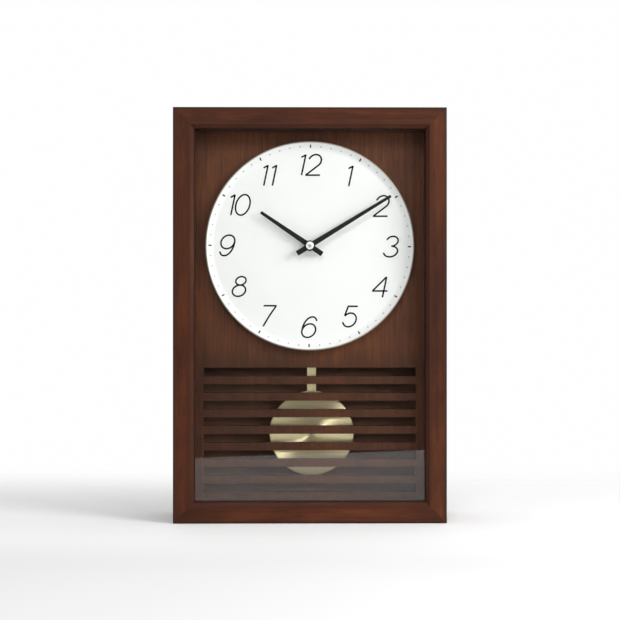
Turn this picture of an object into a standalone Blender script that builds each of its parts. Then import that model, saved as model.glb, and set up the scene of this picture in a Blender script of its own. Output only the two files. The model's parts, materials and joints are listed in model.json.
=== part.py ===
"""Pendulum wall clock: a mitred wooden case, a white dial with two hands, a slotted panel, a quartz movement
and a brass pendulum that hangs behind the slots.

The origin is at the bottom centre of the case. The clock faces -Y, +Z is up and +X is to the right as seen
from the front. Pieces that lie in the dial's plane are drawn as seen from the front: local x runs right,
local y runs up and local z runs towards the viewer, so a height there is a distance forward of the case's
middle plane.
"""

import math

import bmesh
import bpy
from mathutils import Matrix, Vector

MM = 0.001
GAP = 0.3 * MM

# Case
CASE_WIDTH = 262 * MM
CASE_HEIGHT = 398 * MM
CASE_DEPTH = 80 * MM
BOARD_THICKNESS = 14 * MM
FACE_WIDTH = 16.5 * MM
LIP_BEVEL = 4 * MM
LIP_DEPTH = 6 * MM
BACK_LEDGE = 6 * MM
BACK_REBATE_DEPTH = 8 * MM
EDGE_RADIUS = 1 * MM
MITRE_GAP = 0.06 * MM
FRONT = CASE_DEPTH / 2
SIGHT_INSET = FACE_WIDTH + LIP_BEVEL

# Glass, spacers and the slotted dial board
GLASS_THICKNESS = 3 * MM
SPACER_THICKNESS = 5 * MM
BOARD_FRONT = 9 * MM
BOARD_BACK = 0 * MM
BATTEN = 10 * MM
SLOT_COUNT = 8
SLOT_LENGTH = 207.4 * MM
SLOT_HEIGHT = 8.6 * MM
SLOT_PITCH = 16.2 * MM
FIRST_SLOT_TOP = 147.7 * MM
BUSHING_HOLE_RADIUS = 4.6 * MM
BATTEN_SCREW_UPS = (60 * MM, 330 * MM)
BATTEN_SCREW_RIGHT = CASE_WIDTH / 2 - BOARD_THICKNESS - GAP - BATTEN / 2

# Dial
DIAL_UP = 266.3 * MM
DIAL_RADIUS = 101.6 * MM
FACE_RADIUS = 93.1 * MM
FACE_FORWARD = 15.5 * MM
FACE_THICKNESS = 1.5 * MM
CREST_RADIUS = 100.2 * MM
CREST_FORWARD = 19 * MM
BAND_CURVE = 1.7
LEDGE_RADIUS = 89 * MM
DIAL_HOLE_RADIUS = 3 * MM
DIAL_SCREW_RADIUS = 96.5 * MM
DIAL_SCREW_ANGLES = [math.radians(angle) for angle in (90, 210, 330)]

# Hands
HOUR_ANGLE = math.radians(304.3)
MINUTE_ANGLE = math.radians(58.5)
HAND_THICKNESS = 0.8 * MM
HUB_RADIUS = 5.1 * MM
HOUR_HAND_FORWARD = 21.6 * MM
MINUTE_HAND_FORWARD = 24.2 * MM
HOUR_HAND_LENGTH = 57.5 * MM
MINUTE_HAND_LENGTH = 92 * MM
HAND_TAIL = 14.5 * MM
CAP_RADIUS = 3.9 * MM
CAP_HEIGHT = 2.4 * MM
CAP_BORE_DEPTH = 1.5 * MM

# Back
BACK_PANEL_THICKNESS = 5 * MM
WINDOW_HALF_WIDTH = 42 * MM
WINDOW_LOW = 166 * MM
WINDOW_HIGH = 302 * MM
SCREW_SPREAD = 0.93
HANGER_UP = 345 * MM
HANGER_HOLE_RADIUS = 8 * MM
HANGER_SCREW_RIGHTS = (-18 * MM, 18 * MM)
HANGER_THICKNESS = 1.2 * MM
HANGER_HALF_WIDTH = 23 * MM
HANGER_HALF_HEIGHT = 12 * MM
HANGER_CORNER = 3 * MM
KEYHOLE_RADIUS = 4.5 * MM
KEYHOLE_SLOT_RADIUS = 2.2 * MM
KEYHOLE_DROP = 3 * MM
KEYHOLE_SLOT_TOP = 8 * MM

# Screws: the head, the shank, and the holes that they pass through or bite into
HEAD_RADIUS = 2.8 * MM
HEAD_HEIGHT = 1.6 * MM
SHANK_RADIUS = 1.1 * MM
CLEAR_HOLE_RADIUS = 1.8 * MM
PILOT_RADIUS = 1.3 * MM
BACK_SCREW_LENGTH = 15 * MM
BOARD_SCREW_LENGTH = 16 * MM
DIAL_SCREW_LENGTH = 14 * MM
HANGER_SCREW_LENGTH = 6 * MM
HANGER_SCREW_HOLE_RADIUS = 1.6 * MM

# Movement. Depths are measured backwards from the case's middle plane, where the dial board's back is.
MOVEMENT_HALF_WIDTH = 29 * MM
MOVEMENT_TOP = 28 * MM
MOVEMENT_BOTTOM = -84 * MM
MOVEMENT_WALL = 1.5 * MM
MOVEMENT_DEPTH = 17.5 * MM
COVER_SPLIT = 11 * MM
REAR_WALL = MOVEMENT_DEPTH - MOVEMENT_WALL
FRONT_WALL = GAP + MOVEMENT_WALL
BATTERY_UP = -29.5 * MM
BATTERY_RADIUS = 7.25 * MM
BATTERY_DEPTH = 9.5 * MM
ARBOR_RADIUS = 0.45 * MM
BEARING_CLEARANCE = 0.12 * MM
ARBOR_FRONT_RADIUS = 1 * MM
PIPE_BORE = 1.25 * MM
PIPE_RADIUS = 1.9 * MM
STUD_RADIUS = 0.5 * MM
KNOB_RADIUS = 7 * MM
KNOB_STEM_RADIUS = 0.9 * MM
BUSHING_RADIUS = 4 * MM
BUSHING_FLANGE_RADIUS = 6.5 * MM
BUSHING_FRONT = 13 * MM
WASHER_RADIUS = 7.5 * MM
WASHER_THICKNESS = 0.5 * MM
NUT_RADIUS = 6.9 * MM
NUT_THICKNESS = 2.2 * MM
PIVOT_FRONT = 1 * MM
PIVOT_REAR = REAR_WALL + 0.8 * MM
BEARING_REAR = REAR_WALL + 0.95 * MM
BEARING_FRONT = 0.9 * MM
ARM_WAY_HALF_WIDTH = 15 * MM
WHEEL_TOOTH = {"addendum": 0.7, "dedendum": 0.95, "root": 0.24, "tip": 0.09}
PINION_TOOTH = {"addendum": 0.6, "dedendum": 1.05, "root": 0.19, "tip": 0.07}

# Wheel positions around the hands' axis, as seen from the front
MOTION_DIRECTION = math.radians(210)
THIRD_DIRECTION = math.radians(150)
FIFTH_DIRECTION = math.radians(60)
ROTOR_DIRECTION = math.radians(0)

# Motor: the stator plate's limbs, the coil round one of them, and the rotor's magnet
STATOR_THICKNESS = 0.8 * MM
STATOR_DEPTH = 13.6 * MM
STATOR_HOLE_RADIUS = 3.2 * MM
LIMB_LEFT = 16.1 * MM
LIMB_RIGHT = 17.9 * MM
LIMB_TOP = 4 * MM
COIL_BORE = 1.45 * MM
COIL_RADIUS = 2.1 * MM
COIL_HALF_LENGTH = 8 * MM
COIL_UP = -7 * MM
ROTOR_RADIUS = 2.6 * MM
ROTOR_DEPTHS = (12.3 * MM, 14.9 * MM)
TOWER_RADIUS = 1.4 * MM
TOWER_END = 10.4 * MM

# Battery, an AA cell that lies across the movement
BATTERY_HALF_LENGTH = 24.6 * MM
NUB_RADIUS = 2.6 * MM
NUB_LENGTH = 1 * MM
BATTERY_ROUNDING = 0.6 * MM
BATTERY_RIGHT = 0.6 * MM
SPRING_WIRE_RADIUS = 0.3 * MM
SPRING_TURNS = 2.5
SPRING_BASE_RADIUS = 4.5 * MM
SPRING_TIP_RADIUS = 2.3 * MM
SPRING_LENGTH = 2 * MM

# Pendulum
PENDULUM_RIGHT = 2 * MM
PIVOT_UP = 221 * MM
PIVOT = (PENDULUM_RIGHT, PIVOT_UP - DIAL_UP)
PIVOT_PIN_RADIUS = 0.8 * MM
PENDULUM_DEPTH = 11 * MM
ARM_DEPTH = 9.3 * MM
ARM_THICKNESS = 1.4 * MM
ARM_HALF_WIDTH = 2.6 * MM
ARM_EYE_RADIUS = 3.2 * MM
HOOK_DROP = 44 * MM
HOOK_RADIUS = 1.2 * MM
HOOK_HEAD_RADIUS = 2.3 * MM
MAGNET_RADIUS = 5 * MM
ROD_WIDTH = 8.7 * MM
ROD_THICKNESS = 1 * MM
ROD_TOP = 181 * MM
BOB_UP = 82 * MM
BOB_RADIUS = 41.7 * MM
BOB_THICKNESS = 3.2 * MM
BOB_RIM = 1.2 * MM
BOB_SHEET = 0.9 * MM
BOB_BOSS_RADIUS = 3.5 * MM
BOB_NUT_RADIUS = 4.5 * MM
BOB_BACK_DEPTH = 10.6 * MM
BOB_STUD_RADIUS = 1.5 * MM
BOB_STUD_END = 17 * MM
BOB_NUT_BACK = 15.6 * MM
MAGNET_DROP = 21 * MM


# ---------------------------------------------------------------- scene, materials and placing

def clear_scene():
    for old in list(bpy.data.objects):
        bpy.data.objects.remove(old, do_unlink=True)


def new_collection(name):
    collection = bpy.data.collections.new(name)
    bpy.context.scene.collection.children.link(collection)
    return collection


clear_scene()
CLOCK = new_collection("wall_clock")
CUTTERS = new_collection("cutters")
CUTTERS.hide_render = True


def new_material(name, colour, roughness, metallic=0.0, alpha=1.0):
    material = bpy.data.materials.new(name)
    material.use_nodes = True
    shader = material.node_tree.nodes["Principled BSDF"]
    shader.inputs["Base Color"].default_value = (*colour, 1.0)
    shader.inputs["Roughness"].default_value = roughness
    shader.inputs["Metallic"].default_value = metallic
    shader.inputs["Alpha"].default_value = alpha
    material.diffuse_color = (*colour, alpha)
    return material


WALNUT = new_material("dark_walnut", (0.075, 0.024, 0.015), 0.4)
PANEL_WOOD = new_material("panel_walnut", (0.085, 0.035, 0.018), 0.5)
BOARD_BROWN = new_material("brown_fibreboard", (0.05, 0.03, 0.018), 0.8)
GLASS = new_material("clear_glass", (0.95, 0.97, 0.96), 0.02, alpha=0.2)
WHITE = new_material("white_dial", (0.88, 0.88, 0.87), 0.45)
BLACK = new_material("matt_black", (0.012, 0.012, 0.012), 0.6, metallic=0.3)
SILVER = new_material("polished_steel", (0.62, 0.62, 0.62), 0.2, metallic=1.0)
STEEL = new_material("zinc_steel", (0.5, 0.5, 0.48), 0.35, metallic=1.0)
BRASS = new_material("brushed_brass", (0.72, 0.55, 0.3), 0.32, metallic=1.0)
BLACK_PLASTIC = new_material("black_plastic", (0.02, 0.02, 0.022), 0.55)
WHITE_PLASTIC = new_material("natural_nylon", (0.8, 0.78, 0.7), 0.5)
COPPER = new_material("enamelled_copper", (0.6, 0.24, 0.1), 0.35, metallic=1.0)
MAGNET_GREY = new_material("ferrite", (0.05, 0.05, 0.055), 0.6)
BOARD_GREEN = new_material("green_circuit_board", (0.02, 0.14, 0.06), 0.4)
BATTERY_WRAP = new_material("battery_sleeve", (0.12, 0.13, 0.14), 0.35)


def add_object(name, mesh, material, collection=CLOCK):
    obj = bpy.data.objects.new(name, mesh)
    if material:
        mesh.materials.clear()
        mesh.materials.append(material)
    collection.objects.link(obj)
    return obj


def place_front(obj, right=0.0, up=0.0, forward=0.0, clockwise=0.0):
    """Turns a piece drawn as seen from the front into the clock's frame and moves it there."""
    obj.rotation_euler = (math.pi / 2, clockwise, 0.0)
    obj.location = (right, -forward, up)
    return obj


def shade_round(mesh, degrees=35):
    mesh.shade_smooth()
    mesh.set_sharp_from_angle(angle=math.radians(degrees))


def as_cutter(obj):
    obj.hide_render = True
    obj.display_type = "WIRE"
    for collection in list(obj.users_collection):
        collection.objects.unlink(obj)
    CUTTERS.objects.link(obj)
    return obj


def add_boolean(obj, other, operation):
    modifier = obj.modifiers.new(f"{operation.lower()}_{len(obj.modifiers)}", "BOOLEAN")
    modifier.operation = operation
    modifier.object = as_cutter(other)


def cut(obj, *cutters):
    for cutter in cutters:
        add_boolean(obj, cutter, "DIFFERENCE")
    return obj


def join(obj, *others):
    for other in others:
        add_boolean(obj, other, "UNION")
    return obj


# ---------------------------------------------------------------- shapes

def box(name, low, high, material=None):
    """A box between two corners in the clock's frame, with its origin at its middle."""
    mesh = bpy.data.meshes.new(name)
    shape = bmesh.new()
    bmesh.ops.create_cube(shape, size=1.0)
    size = Vector(high) - Vector(low)
    bmesh.ops.scale(shape, vec=size, verts=shape.verts)
    shape.to_mesh(mesh)
    shape.free()
    obj = add_object(name, mesh, material)
    obj.location = (Vector(low) + Vector(high)) / 2
    return obj


def cylinder(name, radius, low, high, material=None, steps=16, right=0.0, up=0.0):
    """A round bar along the viewing direction, between two distances forward."""
    mesh = bpy.data.meshes.new(name)
    shape = bmesh.new()
    bmesh.ops.create_cone(
        shape, cap_ends=True, segments=steps, radius1=radius, radius2=radius, depth=high - low
    )
    shape.to_mesh(mesh)
    shape.free()
    shade_round(mesh)
    return place_front(add_object(name, mesh, material), right, up, (low + high) / 2)


def turned(name, profile, material=None, steps=32, closed=False):
    """A turned piece: (radius, height) points from the top down the outer side, swept round local z."""
    mesh = bpy.data.meshes.new(name)
    shape = bmesh.new()
    points = [shape.verts.new((radius, 0.0, height)) for radius, height in profile]
    for first, second in zip(points, points[1:]):
        shape.edges.new((first, second))
    if closed:
        shape.edges.new((points[-1], points[0]))
    shape.to_mesh(mesh)
    shape.free()
    obj = add_object(name, mesh, material)
    screw = obj.modifiers.new("turn", "SCREW")
    screw.axis = "Z"
    screw.steps = steps
    screw.render_steps = steps
    screw.use_merge_vertices = True
    screw.merge_threshold = 0.00001
    screw.use_smooth_shade = True
    return obj


def outline_mesh(name, outlines, thickness):
    """A flat plate from closed outlines, the later ones being holes, centred on local z = 0."""
    curve = bpy.data.curves.new(name, "CURVE")
    curve.dimensions = "2D"
    curve.fill_mode = "BOTH"
    curve.extrude = thickness / 2
    for outline in outlines:
        spline = curve.splines.new("POLY")
        spline.points.add(len(outline) - 1)
        for point, (x, y) in zip(spline.points, outline):
            point.co = (x, y, 0.0, 1.0)
        spline.use_cyclic_u = True
    flat = bpy.data.objects.new(name + "_outline", curve)
    bpy.context.scene.collection.objects.link(flat)
    bpy.context.view_layer.update()
    graph = bpy.context.evaluated_depsgraph_get()
    mesh = bpy.data.meshes.new_from_object(flat.evaluated_get(graph))
    mesh.name = name
    bpy.data.objects.remove(flat, do_unlink=True)
    shape = bmesh.new()
    shape.from_mesh(mesh)
    bmesh.ops.remove_doubles(shape, verts=shape.verts, dist=0.000001)
    shape.to_mesh(mesh)
    shape.free()
    return mesh


def plate(name, outlines, thickness, material=None):
    return add_object(name, outline_mesh(name, outlines, thickness), material)


def circle(radius, steps=16, centre=(0.0, 0.0)):
    return [
        (
            centre[0] + radius * math.cos(2 * math.pi * step / steps),
            centre[1] + radius * math.sin(2 * math.pi * step / steps),
        )
        for step in range(steps)
    ]


def rectangle(left, bottom, right, top):
    return [(left, bottom), (right, bottom), (right, top), (left, top)]


def polar(radius, angle, centre=(0.0, 0.0)):
    return (centre[0] + radius * math.cos(angle), centre[1] + radius * math.sin(angle))


# ---------------------------------------------------------------- screws

def screw_mesh(name, head_radius, head_height, shank_radius, length):
    """A cross-head wood screw with its tip towards local -z and the head's underside at z = 0."""
    profile = [
        (0.0, head_height),
        (head_radius * 0.72, head_height),
        (head_radius, head_height * 0.35),
        (head_radius, 0.0),
        (shank_radius, 0.0),
        (shank_radius, -length * 0.8),
        (0.0, -length),
    ]
    screw = turned(name, profile, steps=12)
    for index, (half_x, half_y) in enumerate(((0.58, 0.13), (0.13, 0.58))):
        slot = box(
            f"{name}_slot_{index}",
            (-half_x * head_radius, -half_y * head_radius, head_height * 0.35),
            (half_x * head_radius, half_y * head_radius, head_height * 2),
        )
        add_boolean(screw, slot, "DIFFERENCE")
    bpy.context.view_layer.update()
    graph = bpy.context.evaluated_depsgraph_get()
    mesh = bpy.data.meshes.new_from_object(screw.evaluated_get(graph))
    mesh.name = name + "_mesh"
    bpy.data.objects.remove(screw, do_unlink=True)
    shade_round(mesh)
    return mesh


def rear_screw(name, mesh, right, up, depth, material=STEEL):
    """A screw driven forwards from behind, its head's underside at this depth."""
    obj = add_object(name, mesh, material)
    obj.rotation_euler = (-math.pi / 2, 0.0, 0.0)
    obj.location = (right, depth, up)
    return obj


# ---------------------------------------------------------------- case

def board_profile():
    """The case board's section as (distance back from the middle plane, inset from the outer face)."""
    back = CASE_DEPTH / 2
    ledge_inset = BOARD_THICKNESS - BACK_LEDGE
    corner = EDGE_RADIUS * (1 - math.sqrt(0.5))
    return [
        (-FRONT + EDGE_RADIUS, 0.0),
        (-FRONT + corner, corner),
        (-FRONT, EDGE_RADIUS),
        (-FRONT, FACE_WIDTH),
        (-FRONT + LIP_BEVEL, SIGHT_INSET),
        (-FRONT + LIP_DEPTH, SIGHT_INSET),
        (-FRONT + LIP_DEPTH, BOARD_THICKNESS),
        (back - BACK_REBATE_DEPTH, BOARD_THICKNESS),
        (back - BACK_REBATE_DEPTH, ledge_inset),
        (back, ledge_inset),
        (back, 0.0),
    ]


def case_board(name, length, rotation, location):
    """A board with mitred ends: its section drawn flat, stretched to length, each end sheared by its inset."""
    mesh = outline_mesh(name, [board_profile()], length)
    for vertex in mesh.vertices:
        shear = vertex.co.y + MITRE_GAP
        vertex.co.z -= math.copysign(shear, vertex.co.z)
    mesh.transform(rotation)
    obj = add_object(name, mesh, WALNUT)
    obj.location = location
    return obj


def axes(x, y, z):
    """The rotation that takes local x, y and z to these directions."""
    return Matrix((x, y, z)).transposed().to_4x4()


def build_case():
    half_width = CASE_WIDTH / 2
    half_height = CASE_HEIGHT / 2
    back, right, up = Vector((0, 1, 0)), Vector((1, 0, 0)), Vector((0, 0, 1))
    case_board("case_left_side", CASE_HEIGHT, axes(back, right, -up), (-half_width, 0, half_height))
    case_board("case_right_side", CASE_HEIGHT, axes(back, -right, up), (half_width, 0, half_height))
    case_board("case_bottom", CASE_WIDTH, axes(back, up, right), (0, 0, 0))
    case_board("case_top", CASE_WIDTH, axes(back, -up, -right), (0, 0, CASE_HEIGHT))


def build_glass_and_spacers():
    inner = BOARD_THICKNESS + GAP
    left, right = -CASE_WIDTH / 2 + inner, CASE_WIDTH / 2 - inner
    bottom, top = inner, CASE_HEIGHT - inner
    glass_front = -FRONT + LIP_DEPTH + GAP
    glass_back = glass_front + GLASS_THICKNESS
    box("glass_pane", (left, glass_front, bottom), (right, glass_back, top), GLASS)
    front, back = glass_back + GAP, -BOARD_FRONT - GAP
    thick = SPACER_THICKNESS
    box("spacer_left", (left, front, bottom), (left + thick, back, top), WALNUT)
    box("spacer_right", (right - thick, front, bottom), (right, back, top), WALNUT)
    between = thick + GAP
    box("spacer_top", (left + between, front, top - thick), (right - between, back, top), WALNUT)
    box("spacer_bottom", (left + between, front, bottom), (right - between, back, bottom + thick), WALNUT)


def build_dial_board():
    inner = BOARD_THICKNESS + GAP
    half = CASE_WIDTH / 2 - inner
    middle = CASE_HEIGHT / 2
    outlines = [rectangle(-half, inner - middle, half, middle - inner)]
    for index in range(SLOT_COUNT):
        top = FIRST_SLOT_TOP - index * SLOT_PITCH - middle
        outlines.append(rectangle(-SLOT_LENGTH / 2, top - SLOT_HEIGHT, SLOT_LENGTH / 2, top))
    outlines.append(circle(BUSHING_HOLE_RADIUS, 16, (0.0, DIAL_UP - middle)))
    for angle in DIAL_SCREW_ANGLES:
        place = polar(DIAL_SCREW_RADIUS, angle, (0.0, DIAL_UP - middle))
        outlines.append(circle(CLEAR_HOLE_RADIUS, 8, place))
    thickness = BOARD_FRONT - BOARD_BACK
    board = plate("dial_board", outlines, thickness, PANEL_WOOD)
    place_front(board, 0.0, middle, BOARD_BACK + thickness / 2)
    pilot_end = BOARD_BACK + 6.5 * MM
    for side, sign in (("left", -1), ("right", 1)):
        for level, up in zip(("lower", "upper"), BATTEN_SCREW_UPS):
            right = sign * BATTEN_SCREW_RIGHT
            name = f"board_{side}_{level}_pilot"
            pilot = cylinder(name, PILOT_RADIUS, BOARD_BACK - MM, pilot_end, steps=8, right=right, up=up)
            cut(board, pilot)


def build_battens(screw):
    """Two battens behind the dial board's edges, each with two screws driven forwards into the board."""
    inner = CASE_WIDTH / 2 - BOARD_THICKNESS - GAP
    bottom, top = BOARD_THICKNESS + GAP, CASE_HEIGHT - BOARD_THICKNESS - GAP
    front, back = BOARD_BACK + GAP, BOARD_BACK + GAP + BATTEN
    for side, sign in (("left", -1), ("right", 1)):
        ends = sorted((sign * inner, sign * (inner - BATTEN)))
        batten = box(f"batten_{side}", (ends[0], front, bottom), (ends[1], back, top), WALNUT)
        for level, up in zip(("lower", "upper"), BATTEN_SCREW_UPS):
            right = sign * BATTEN_SCREW_RIGHT
            name = f"batten_{side}_{level}_way"
            cut(batten, cylinder(name, CLEAR_HOLE_RADIUS, -back - MM, -front + MM, right=right, up=up))
            rear_screw(f"board_screw_{side}_{level}", screw, right, up, back + GAP)


# ---------------------------------------------------------------- back

def build_back(screw, small_screw):
    ledge = BOARD_THICKNESS - BACK_LEDGE + GAP
    half = CASE_WIDTH / 2 - ledge
    middle = CASE_HEIGHT / 2
    front = CASE_DEPTH / 2 - BACK_REBATE_DEPTH + GAP
    rear = front + BACK_PANEL_THICKNESS
    screw_right = CASE_WIDTH / 2 - BOARD_THICKNESS + BACK_LEDGE / 2
    screw_up = (middle - BOARD_THICKNESS + BACK_LEDGE / 2) * SCREW_SPREAD
    places = [
        (f"back_screw_{side}_{level}", right * screw_right, up * screw_up)
        for side, right in (("left", -1), ("right", 1))
        for level, up in (("lower", -1), ("upper", 1))
    ]
    outlines = [
        rectangle(-half, ledge - middle, half, middle - ledge),
        rectangle(-WINDOW_HALF_WIDTH, WINDOW_LOW - middle, WINDOW_HALF_WIDTH, WINDOW_HIGH - middle),
        circle(HANGER_HOLE_RADIUS, 16, (0.0, HANGER_UP - middle)),
    ]
    outlines += [circle(CLEAR_HOLE_RADIUS, 12, (right, up)) for _, right, up in places]
    outlines += [circle(PILOT_RADIUS, 8, (right, HANGER_UP - middle)) for right in HANGER_SCREW_RIGHTS]
    panel = plate("back_panel", outlines, BACK_PANEL_THICKNESS, BOARD_BROWN)
    place_front(panel, 0.0, middle, -(front + rear) / 2)
    for name, right, up in places:
        board = bpy.data.objects["case_left_side" if right < 0 else "case_right_side"]
        height = up + middle
        low, high = -front - MM, -front + 10 * MM
        cut(board, cylinder(name + "_pilot", PILOT_RADIUS, low, high, steps=8, right=right, up=height))
        rear_screw(name, screw, right, height, rear + GAP)
    build_hanger(rear + GAP, small_screw)


def build_hanger(depth, screw):
    """A keyhole plate: a screw head enters the round hole and the plate drops so that its shank is in the slot."""
    start = math.asin(KEYHOLE_SLOT_RADIUS / KEYHOLE_RADIUS)
    sweep = [start + step * (2 * math.pi - 2 * start) / 14 for step in range(15)]
    keyhole = [
        (KEYHOLE_RADIUS * math.sin(angle), KEYHOLE_RADIUS * math.cos(angle) - KEYHOLE_DROP) for angle in sweep
    ]
    slot_end = (0.0, KEYHOLE_SLOT_TOP - KEYHOLE_SLOT_RADIUS)
    keyhole += [polar(KEYHOLE_SLOT_RADIUS, math.pi - step * math.pi / 6, slot_end) for step in range(7)]
    wide, high, corner = HANGER_HALF_WIDTH, HANGER_HALF_HEIGHT, HANGER_CORNER
    right_side = [(wide - corner, -high), (wide, -high + corner), (wide, high - corner), (wide - corner, high)]
    edge = right_side + [(-x, y) for x, y in reversed(right_side)]
    holes = [circle(HANGER_SCREW_HOLE_RADIUS, 12, (right, 0.0)) for right in HANGER_SCREW_RIGHTS]
    outlines = [edge, keyhole] + holes
    hanger = plate("hanger_plate", outlines, HANGER_THICKNESS, STEEL)
    place_front(hanger, 0.0, HANGER_UP, -(depth + HANGER_THICKNESS / 2))
    seat = depth + HANGER_THICKNESS + 0.1 * MM
    for side, right in zip(("left", "right"), HANGER_SCREW_RIGHTS):
        rear_screw(f"hanger_screw_{side}", screw, right, HANGER_UP, seat)


# ---------------------------------------------------------------- dial and hands

def dial_ring_profile():
    """Outer side, rounded crest, hollow band down to the face, ledge under the face, then the back."""
    back = BOARD_FRONT + GAP
    roll = DIAL_RADIUS - CREST_RADIUS
    profile = []
    band_steps = 5
    for step in range(band_steps + 1):
        along = step / band_steps
        radius = FACE_RADIUS + along * (CREST_RADIUS - FACE_RADIUS)
        rise = (CREST_FORWARD - FACE_FORWARD) * along ** BAND_CURVE
        profile.append((radius, FACE_FORWARD + rise))
    roll_steps = 3
    for step in range(1, roll_steps + 1):
        angle = math.pi / 2 * step / roll_steps
        radius = CREST_RADIUS + roll * math.sin(angle)
        profile.append((radius, CREST_FORWARD - roll * (1 - math.cos(angle))))
    ledge = FACE_FORWARD - FACE_THICKNESS - GAP
    profile += [(DIAL_RADIUS, back), (LEDGE_RADIUS, back), (LEDGE_RADIUS, ledge), (FACE_RADIUS, ledge)]
    return profile


def build_dial(screw):
    ring = turned("dial_ring", dial_ring_profile(), WHITE, steps=64, closed=True)
    place_front(ring, 0.0, DIAL_UP)
    for name, angle in zip(("top", "left", "right"), DIAL_SCREW_ANGLES):
        right, up = polar(DIAL_SCREW_RADIUS, angle, (0.0, DIAL_UP))
        low, high = BOARD_FRONT - MM, BOARD_FRONT + 5.2 * MM
        cut(ring, cylinder(f"dial_{name}_pilot", PILOT_RADIUS, low, high, steps=8, right=right, up=up))
        rear_screw(f"dial_screw_{name}", screw, right, up, BOARD_BACK + GAP)
    outlines = [circle(FACE_RADIUS - GAP, 64), circle(DIAL_HOLE_RADIUS, 16)]
    face = plate("dial_plate", outlines, FACE_THICKNESS, WHITE)
    place_front(face, 0.0, DIAL_UP, FACE_FORWARD - FACE_THICKNESS / 2)


def hand_outline(tip_length, root_width, tip_width, tail_length, tail_width):
    """A flat bar hand pointing up, with a round hub."""
    root, tip, tail = root_width / 2, tip_width / 2, tail_width / 2
    start = math.asin(root / HUB_RADIUS)
    end = math.pi - math.asin(tail / HUB_RADIUS)
    arc = [start + step * (end - start) / 8 for step in range(9)]
    right_side = [(HUB_RADIUS * math.sin(angle), HUB_RADIUS * math.cos(angle)) for angle in arc]
    right_side = [(tip, tip_length)] + right_side + [(tail, -tail_length)]
    return right_side + [(-x, y) for x, y in reversed(right_side)]


def build_hands():
    pipe_hole = circle(PIPE_RADIUS + 0.1 * MM, 16)
    outline = hand_outline(HOUR_HAND_LENGTH, 5 * MM, 2.9 * MM, HAND_TAIL, 4.9 * MM)
    hour = plate("hour_hand", [outline, pipe_hole], HAND_THICKNESS, BLACK)
    place_front(hour, 0.0, DIAL_UP, HOUR_HAND_FORWARD, HOUR_ANGLE)
    bore = ARBOR_FRONT_RADIUS + 0.1 * MM
    outline = hand_outline(MINUTE_HAND_LENGTH, 5 * MM, 2.7 * MM, HAND_TAIL, 5 * MM)
    minute = plate("minute_hand", [outline, circle(bore, 16)], HAND_THICKNESS, BLACK)
    place_front(minute, 0.0, DIAL_UP, MINUTE_HAND_FORWARD, MINUTE_ANGLE)
    dome_rise = 1.3 * MM
    dome = []
    for step in range(7):
        angle = math.pi / 2 * step / 6
        dome.append((CAP_RADIUS * math.sin(angle), CAP_HEIGHT - dome_rise * (1 - math.cos(angle))))
    inside = [(CAP_RADIUS, 0.0), (bore, 0.0), (bore, CAP_BORE_DEPTH), (0.0, CAP_BORE_DEPTH)]
    cap = turned("hand_cap", dome + inside, SILVER, steps=20)
    place_front(cap, 0.0, DIAL_UP, MINUTE_HAND_FORWARD + HAND_THICKNESS / 2 + 0.1 * MM)


# ---------------------------------------------------------------- gears

def gear_outline(teeth, module, tooth, phase):
    """Tapered teeth with running clearance. Tooth 0 points along the phase angle."""
    pitch_radius = teeth * module / 2
    root = pitch_radius - tooth["dedendum"] * module
    tip = pitch_radius + tooth["addendum"] * module
    pitch = 2 * math.pi / teeth
    corners = ((root, -tooth["root"]), (tip, -tooth["tip"]), (tip, tooth["tip"]), (root, tooth["root"]))
    return [
        polar(radius, phase + (index + offset) * pitch)
        for index in range(teeth)
        for radius, offset in corners
    ]


def meshed_phase(teeth_a, phase_a, teeth_b, direction):
    """Gear B's phase so that its gap meets gear A's tooth on the line from A to B."""
    place_a = teeth_a * (direction - phase_a) / (2 * math.pi)
    return direction + math.pi - (0.5 - place_a) * 2 * math.pi / teeth_b


def centre_distance(teeth_a, teeth_b, module):
    return (teeth_a + teeth_b) * module / 2


class Gear:
    """One set of teeth: its count, module, phase and the depths between which it lies."""

    def __init__(self, teeth, module, tooth, phase, front, back):
        self.teeth, self.module, self.tooth, self.phase = teeth, module, tooth, phase
        self.front, self.back = front * MM, back * MM

    def build(self, name, material, bore=None):
        outlines = [gear_outline(self.teeth, self.module, self.tooth, self.phase)]
        if bore:
            outlines.append(circle(bore, 16))
        gear = plate(name, outlines, self.back - self.front, material)
        gear.data.transform(Matrix.Translation((0.0, 0.0, -(self.front + self.back) / 2)))
        return gear


CANNON = Gear(12, 0.35 * MM, PINION_TOOTH, 0.0, 4.6, 6.0)
MOTION = Gear(36, 0.35 * MM, WHEEL_TOOTH, meshed_phase(12, 0.0, 36, MOTION_DIRECTION), 4.8, 5.7)
MOTION_PINION = Gear(10, 0.336 * MM, PINION_TOOTH, 0.0, 3.1, 5.0)
HOUR = Gear(40, 0.336 * MM, WHEEL_TOOTH, meshed_phase(10, 0.0, 40, MOTION_DIRECTION + math.pi), 3.3, 4.2)
KNOB_PINION = Gear(
    10, 0.35 * MM, PINION_TOOTH, meshed_phase(36, MOTION.phase, 10, MOTION_DIRECTION), 4.6, 6.0
)
ROTOR_PINION = Gear(8, 0.28 * MM, PINION_TOOTH, 0.0, 10.9, 12.6)
FIFTH = Gear(60, 0.28 * MM, WHEEL_TOOTH, meshed_phase(8, 0.0, 60, ROTOR_DIRECTION + math.pi), 11.2, 12.1)
FIFTH_PINION = Gear(15, 0.32 * MM, PINION_TOOTH, 0.0, 9.4, 11.5)
SECOND = Gear(60, 0.32 * MM, WHEEL_TOOTH, meshed_phase(15, 0.0, 60, FIFTH_DIRECTION + math.pi), 9.6, 10.5)
SECOND_PINION = Gear(8, 0.34 * MM, PINION_TOOTH, 0.0, 7.8, 9.9)
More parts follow.
